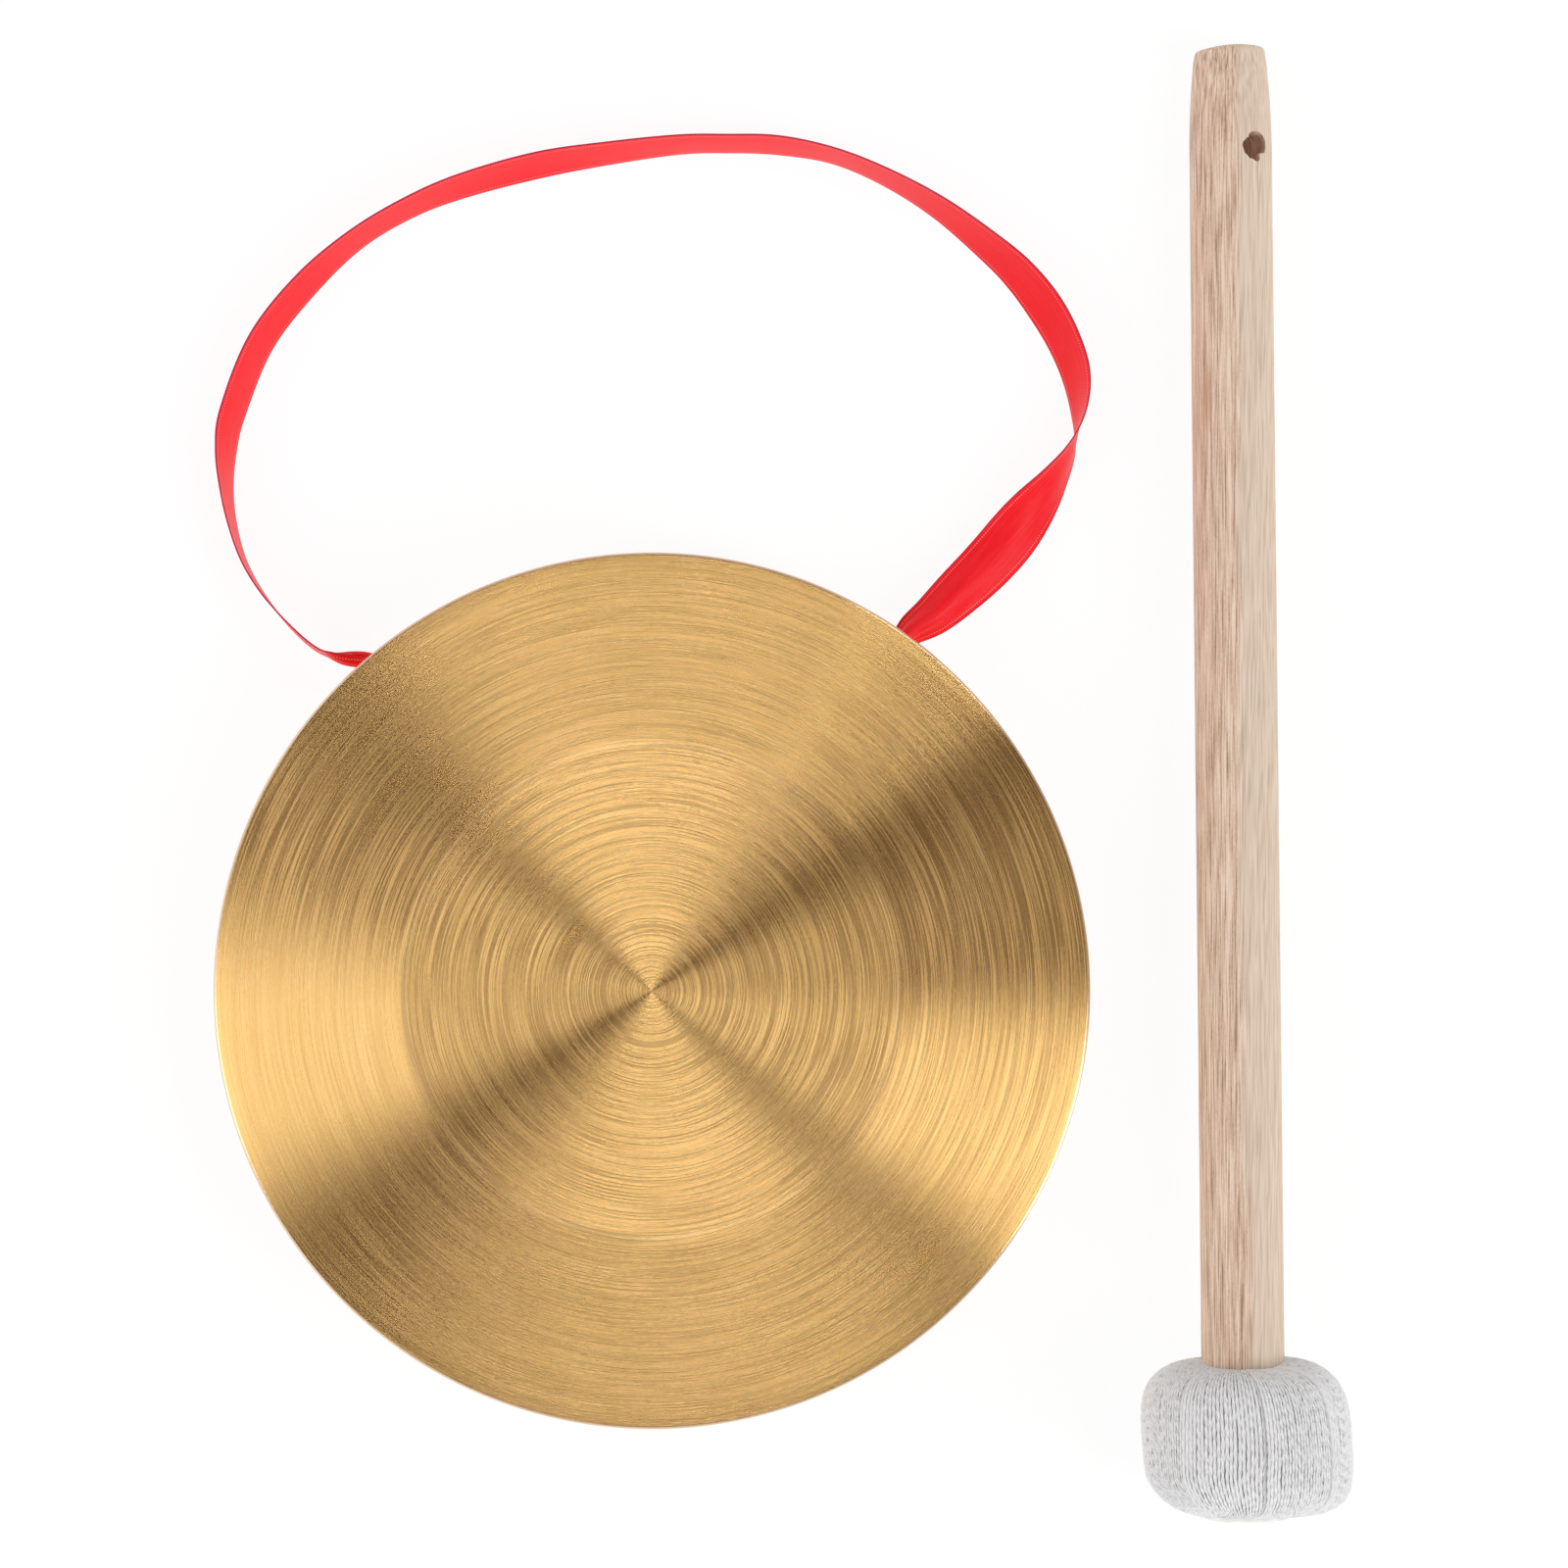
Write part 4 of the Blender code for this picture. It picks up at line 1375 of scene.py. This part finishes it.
@dataclass
class YarnHead:
    """Cotton yarn wound through the bored core in eight bundles, each laid over the edge of the last."""

    belly: float = 18.75 * MM
    belly_height: float = 14.3 * MM
    top: float = 29.6 * MM
    foot: float = 0.75 * MM
    mouth: float = 7.2 * MM
    depth: float = 3.6 * MM
    strand_radius: float = 0.36 * MM
    strand_pitch: float = 0.75 * MM
    strands: int = 24
    samples: int = 8
    rows: int = 380
    outline_steps: int = 60
    ply_pitch: float = 2.1 * MM
    lean: float = 1.4 * MM
    tuck: float = 5.0
    borders: tuple = (-83.0, -43.5, 5.0, 48.0, 95.0, 141.0, 187.0, 232.0)
    skews: tuple = (3.0, -5.0, -1.0, 3.0, -4.0, 2.0, 4.0, -3.0)
    bows: tuple = (4.0, 2.0, 9.0, 4.0, 5.0, 8.0, 3.0, 6.0)

    def profile(self) -> list:
        """The head's outline from the upper mouth round the belly to the lower one.

        Returns:
            Points of (radius, height).
        """
        points, steps = [], self.outline_steps
        upper, lower = self.top - self.belly_height, self.foot - self.belly_height
        for height, power, start, end in ((upper, 3.5, 1.0, 0.0), (lower, 3.4, 0.0, 1.0)):
            mouth = asin(min(self.mouth / self.belly, 1.0) ** (power / 2.0))
            for part in range(steps if start else steps + 1):
                share = start + (end - start) * part / steps
                angle = mouth * share + pi / 2.0 * (1.0 - share)
                radius = self.belly * sin(angle) ** (2.0 / power)
                points.append(Vector((radius, self.belly_height + height * cos(angle) ** (2.0 / power))))
        return points

    def stations(self) -> list:
        """Even places along the outline.

        Returns:
            Rows of (share, distance, point, outward normal).
        """
        points = self.profile()
        made = []
        for number, (distance, index, share) in enumerate(evenly(walk(points), self.rows)):
            point = points[index].lerp(points[index + 1], share)
            near, far = points[max(index - 1, 0)], points[min(index + 2, len(points) - 1)]
            run = (far - near).normalized()
            made.append((number / self.rows, distance, point, Vector((-run.y, run.x))))
        return made

    def spot(self, point: Vector, angle: float) -> Vector:
        """A point of the outline at an angle round the head, with the head's slight lean to one side.

        Args:
            point: The radius and height.
            angle: The angle from the side that faces up, in degrees.

        Returns:
            The point in the mallet's frame.
        """
        turn = radians(angle)
        above = max(point.y - self.belly_height, 0.0) / (self.top - self.belly_height)
        front_dip = 2.1 * MM * eased((cos(turn) + 0.2) / 1.2)
        height = point.y - front_dip * above ** 3
        lean = self.lean * (1.0 - height / (25.0 * MM)) + 0.9 * MM * eased((9.0 * MM - height) / (7.0 * MM))
        lean *= 0.4 + 0.6 * eased((point.x - self.mouth) / (5.0 * MM))
        return Vector((-point.x * sin(turn) - lean, point.x * cos(turn), height))

    def plies(self, within: float, twist: float) -> float:
        """The height of two plies that turn about each other.

        Args:
            within: The place across the strand, from -1 to 1.
            twist: How far the plies have turned, in radians.

        Returns:
            The height of the upper one, in strand radii.
        """
        height = -0.45
        for sign in (1.0, -1.0):
            off = (within - 0.48 * sign * cos(twist)) / 0.56
            if abs(off) < 1.0:
                height = max(height, 0.22 * sign * sin(twist) + 0.56 * sqrt(1.0 - off * off))
        return height

    def between(self, values: tuple, number: int, across: float) -> float:
        """A value across a bundle, that runs from its own border's to the next border's."""
        return values[number] * (1.0 - across) + values[(number + 1) % len(values)] * across

    def width(self, number: int) -> float:
        """How many degrees a bundle covers, with what it tucks under the next one."""
        return (self.borders[(number + 1) % len(self.borders)] - self.borders[number]) % 360.0 + self.tuck

    def angle(self, number: int, across: float, share: float) -> float:
        """The angle round the head, in degrees, at a place of a bundle.

        Args:
            number: Which bundle it is, counted round the head.
            across: The place across it, from 0 to 1.
            share: The place along it, from 0 to 1.

        Returns:
            The angle from the side that faces up.
        """
        turn = self.borders[number] + self.width(number) * across
        turn += self.between(self.skews, number, across) * (share - 0.5) * 2.0
        return turn + self.between(self.bows, number, across) * (sin(pi * share) - 0.7)

    def row(self, number: int, station: tuple) -> tuple:
        """The skin round a bundle at one station: its strands outside and its plain inner side.

        Args:
            number: Which bundle it is.
            station: The share, distance, point and normal of the outline there.

        Returns:
            The points in the mallet's frame, and their UV.
        """
        share, distance, point, normal = station
        count = self.strands * self.samples
        bow = sin(pi * share)
        row, uvs = [], []
        for index in range(count + 1):
            across = index / count
            strand = min(index // self.samples, self.strands - 1)
            within = (index - strand * self.samples) / self.samples * 2.0 - 1.0
            wander = noise.noise(Vector((strand * 3.1 + number * 17.0, distance * 90.0, 2.2)))
            proud = noise.noise(Vector((strand * 5.7 + number * 11.0, distance * 160.0, 8.8)))
            phase = 3.0 * sin(strand * strand * 1.7 + number) + 0.8 * wander
            crest = self.plies(within, pi * distance / self.ply_pitch + phase) - 1.0
            edge = min(across, 1.0 - across) * self.width(number) / 2.2
            lay = 0.24 * MM * (1.0 - 2.0 * across) - 0.6 * MM * max(0.0, 1.0 - edge) ** 2
            rise = self.strand_radius * crest + 0.07 * MM * proud + lay * (0.35 + 0.65 * bow)
            angle = self.angle(number, across, share) + wander * 0.35 * bow
            row.append(self.spot(point + normal * rise, angle))
            uvs.append((number * BUNDLE_STRIDE + index / self.samples, distance / self.strand_pitch))
        inner = point - normal * self.depth * (0.25 + 0.75 * bow)
        for index in sorted({*range(0, count, 10), count}, reverse=True):
            row.append(self.spot(inner, self.angle(number, index / count, share)))
            uvs.append((number * BUNDLE_STRIDE + index / self.samples, distance / self.strand_pitch))
        return row, uvs

    def build(self, place: Matrix, yarn: Finish) -> None:
        """Winds all bundles, each a closed skin with its strands and plies modelled.

        Args:
            place: The frame of the lying mallet.
            yarn: The finish.
        """
        stations = self.stations()
        for number in range(len(self.borders)):
            rows = [self.row(number, station) for station in stations]
            bundle = skin(f"yarn_bundle_{number + 1}", *zip(*rows))
            put(bundle, place)
            smooth(bundle, 70.0)
            dress(bundle, yarn)
            hand_over(bundle, Body.MALLET, "mallet_winding")


def main() -> None:
    """Builds the studio and the set, with the camera and the ribbon first."""
    logging.basicConfig(level=logging.INFO, format="%(name)s: %(message)s")
    Studio().build()
    face = Satin("satin_face", (0.93, 0.007, 0.014), (0.98, 0.020, 0.030), 0.25, 0.03).make()
    # The inner face's paler, pinker red is partly that side's own weave and partly painted sheen, the
    # glancing light that the upright ribbon catches.
    back = Satin("satin_back", (0.98, 0.055, 0.07), (1.0, 0.13, 0.14), 0.9, 0.3).make()
    RibbonLoop().build(face, back, [RibbonEnd(side).build(face) for side in Side])
    Gong().build(BrushedBrass().make())
    Mallet().build()


if __name__ == "__main__":
    main()
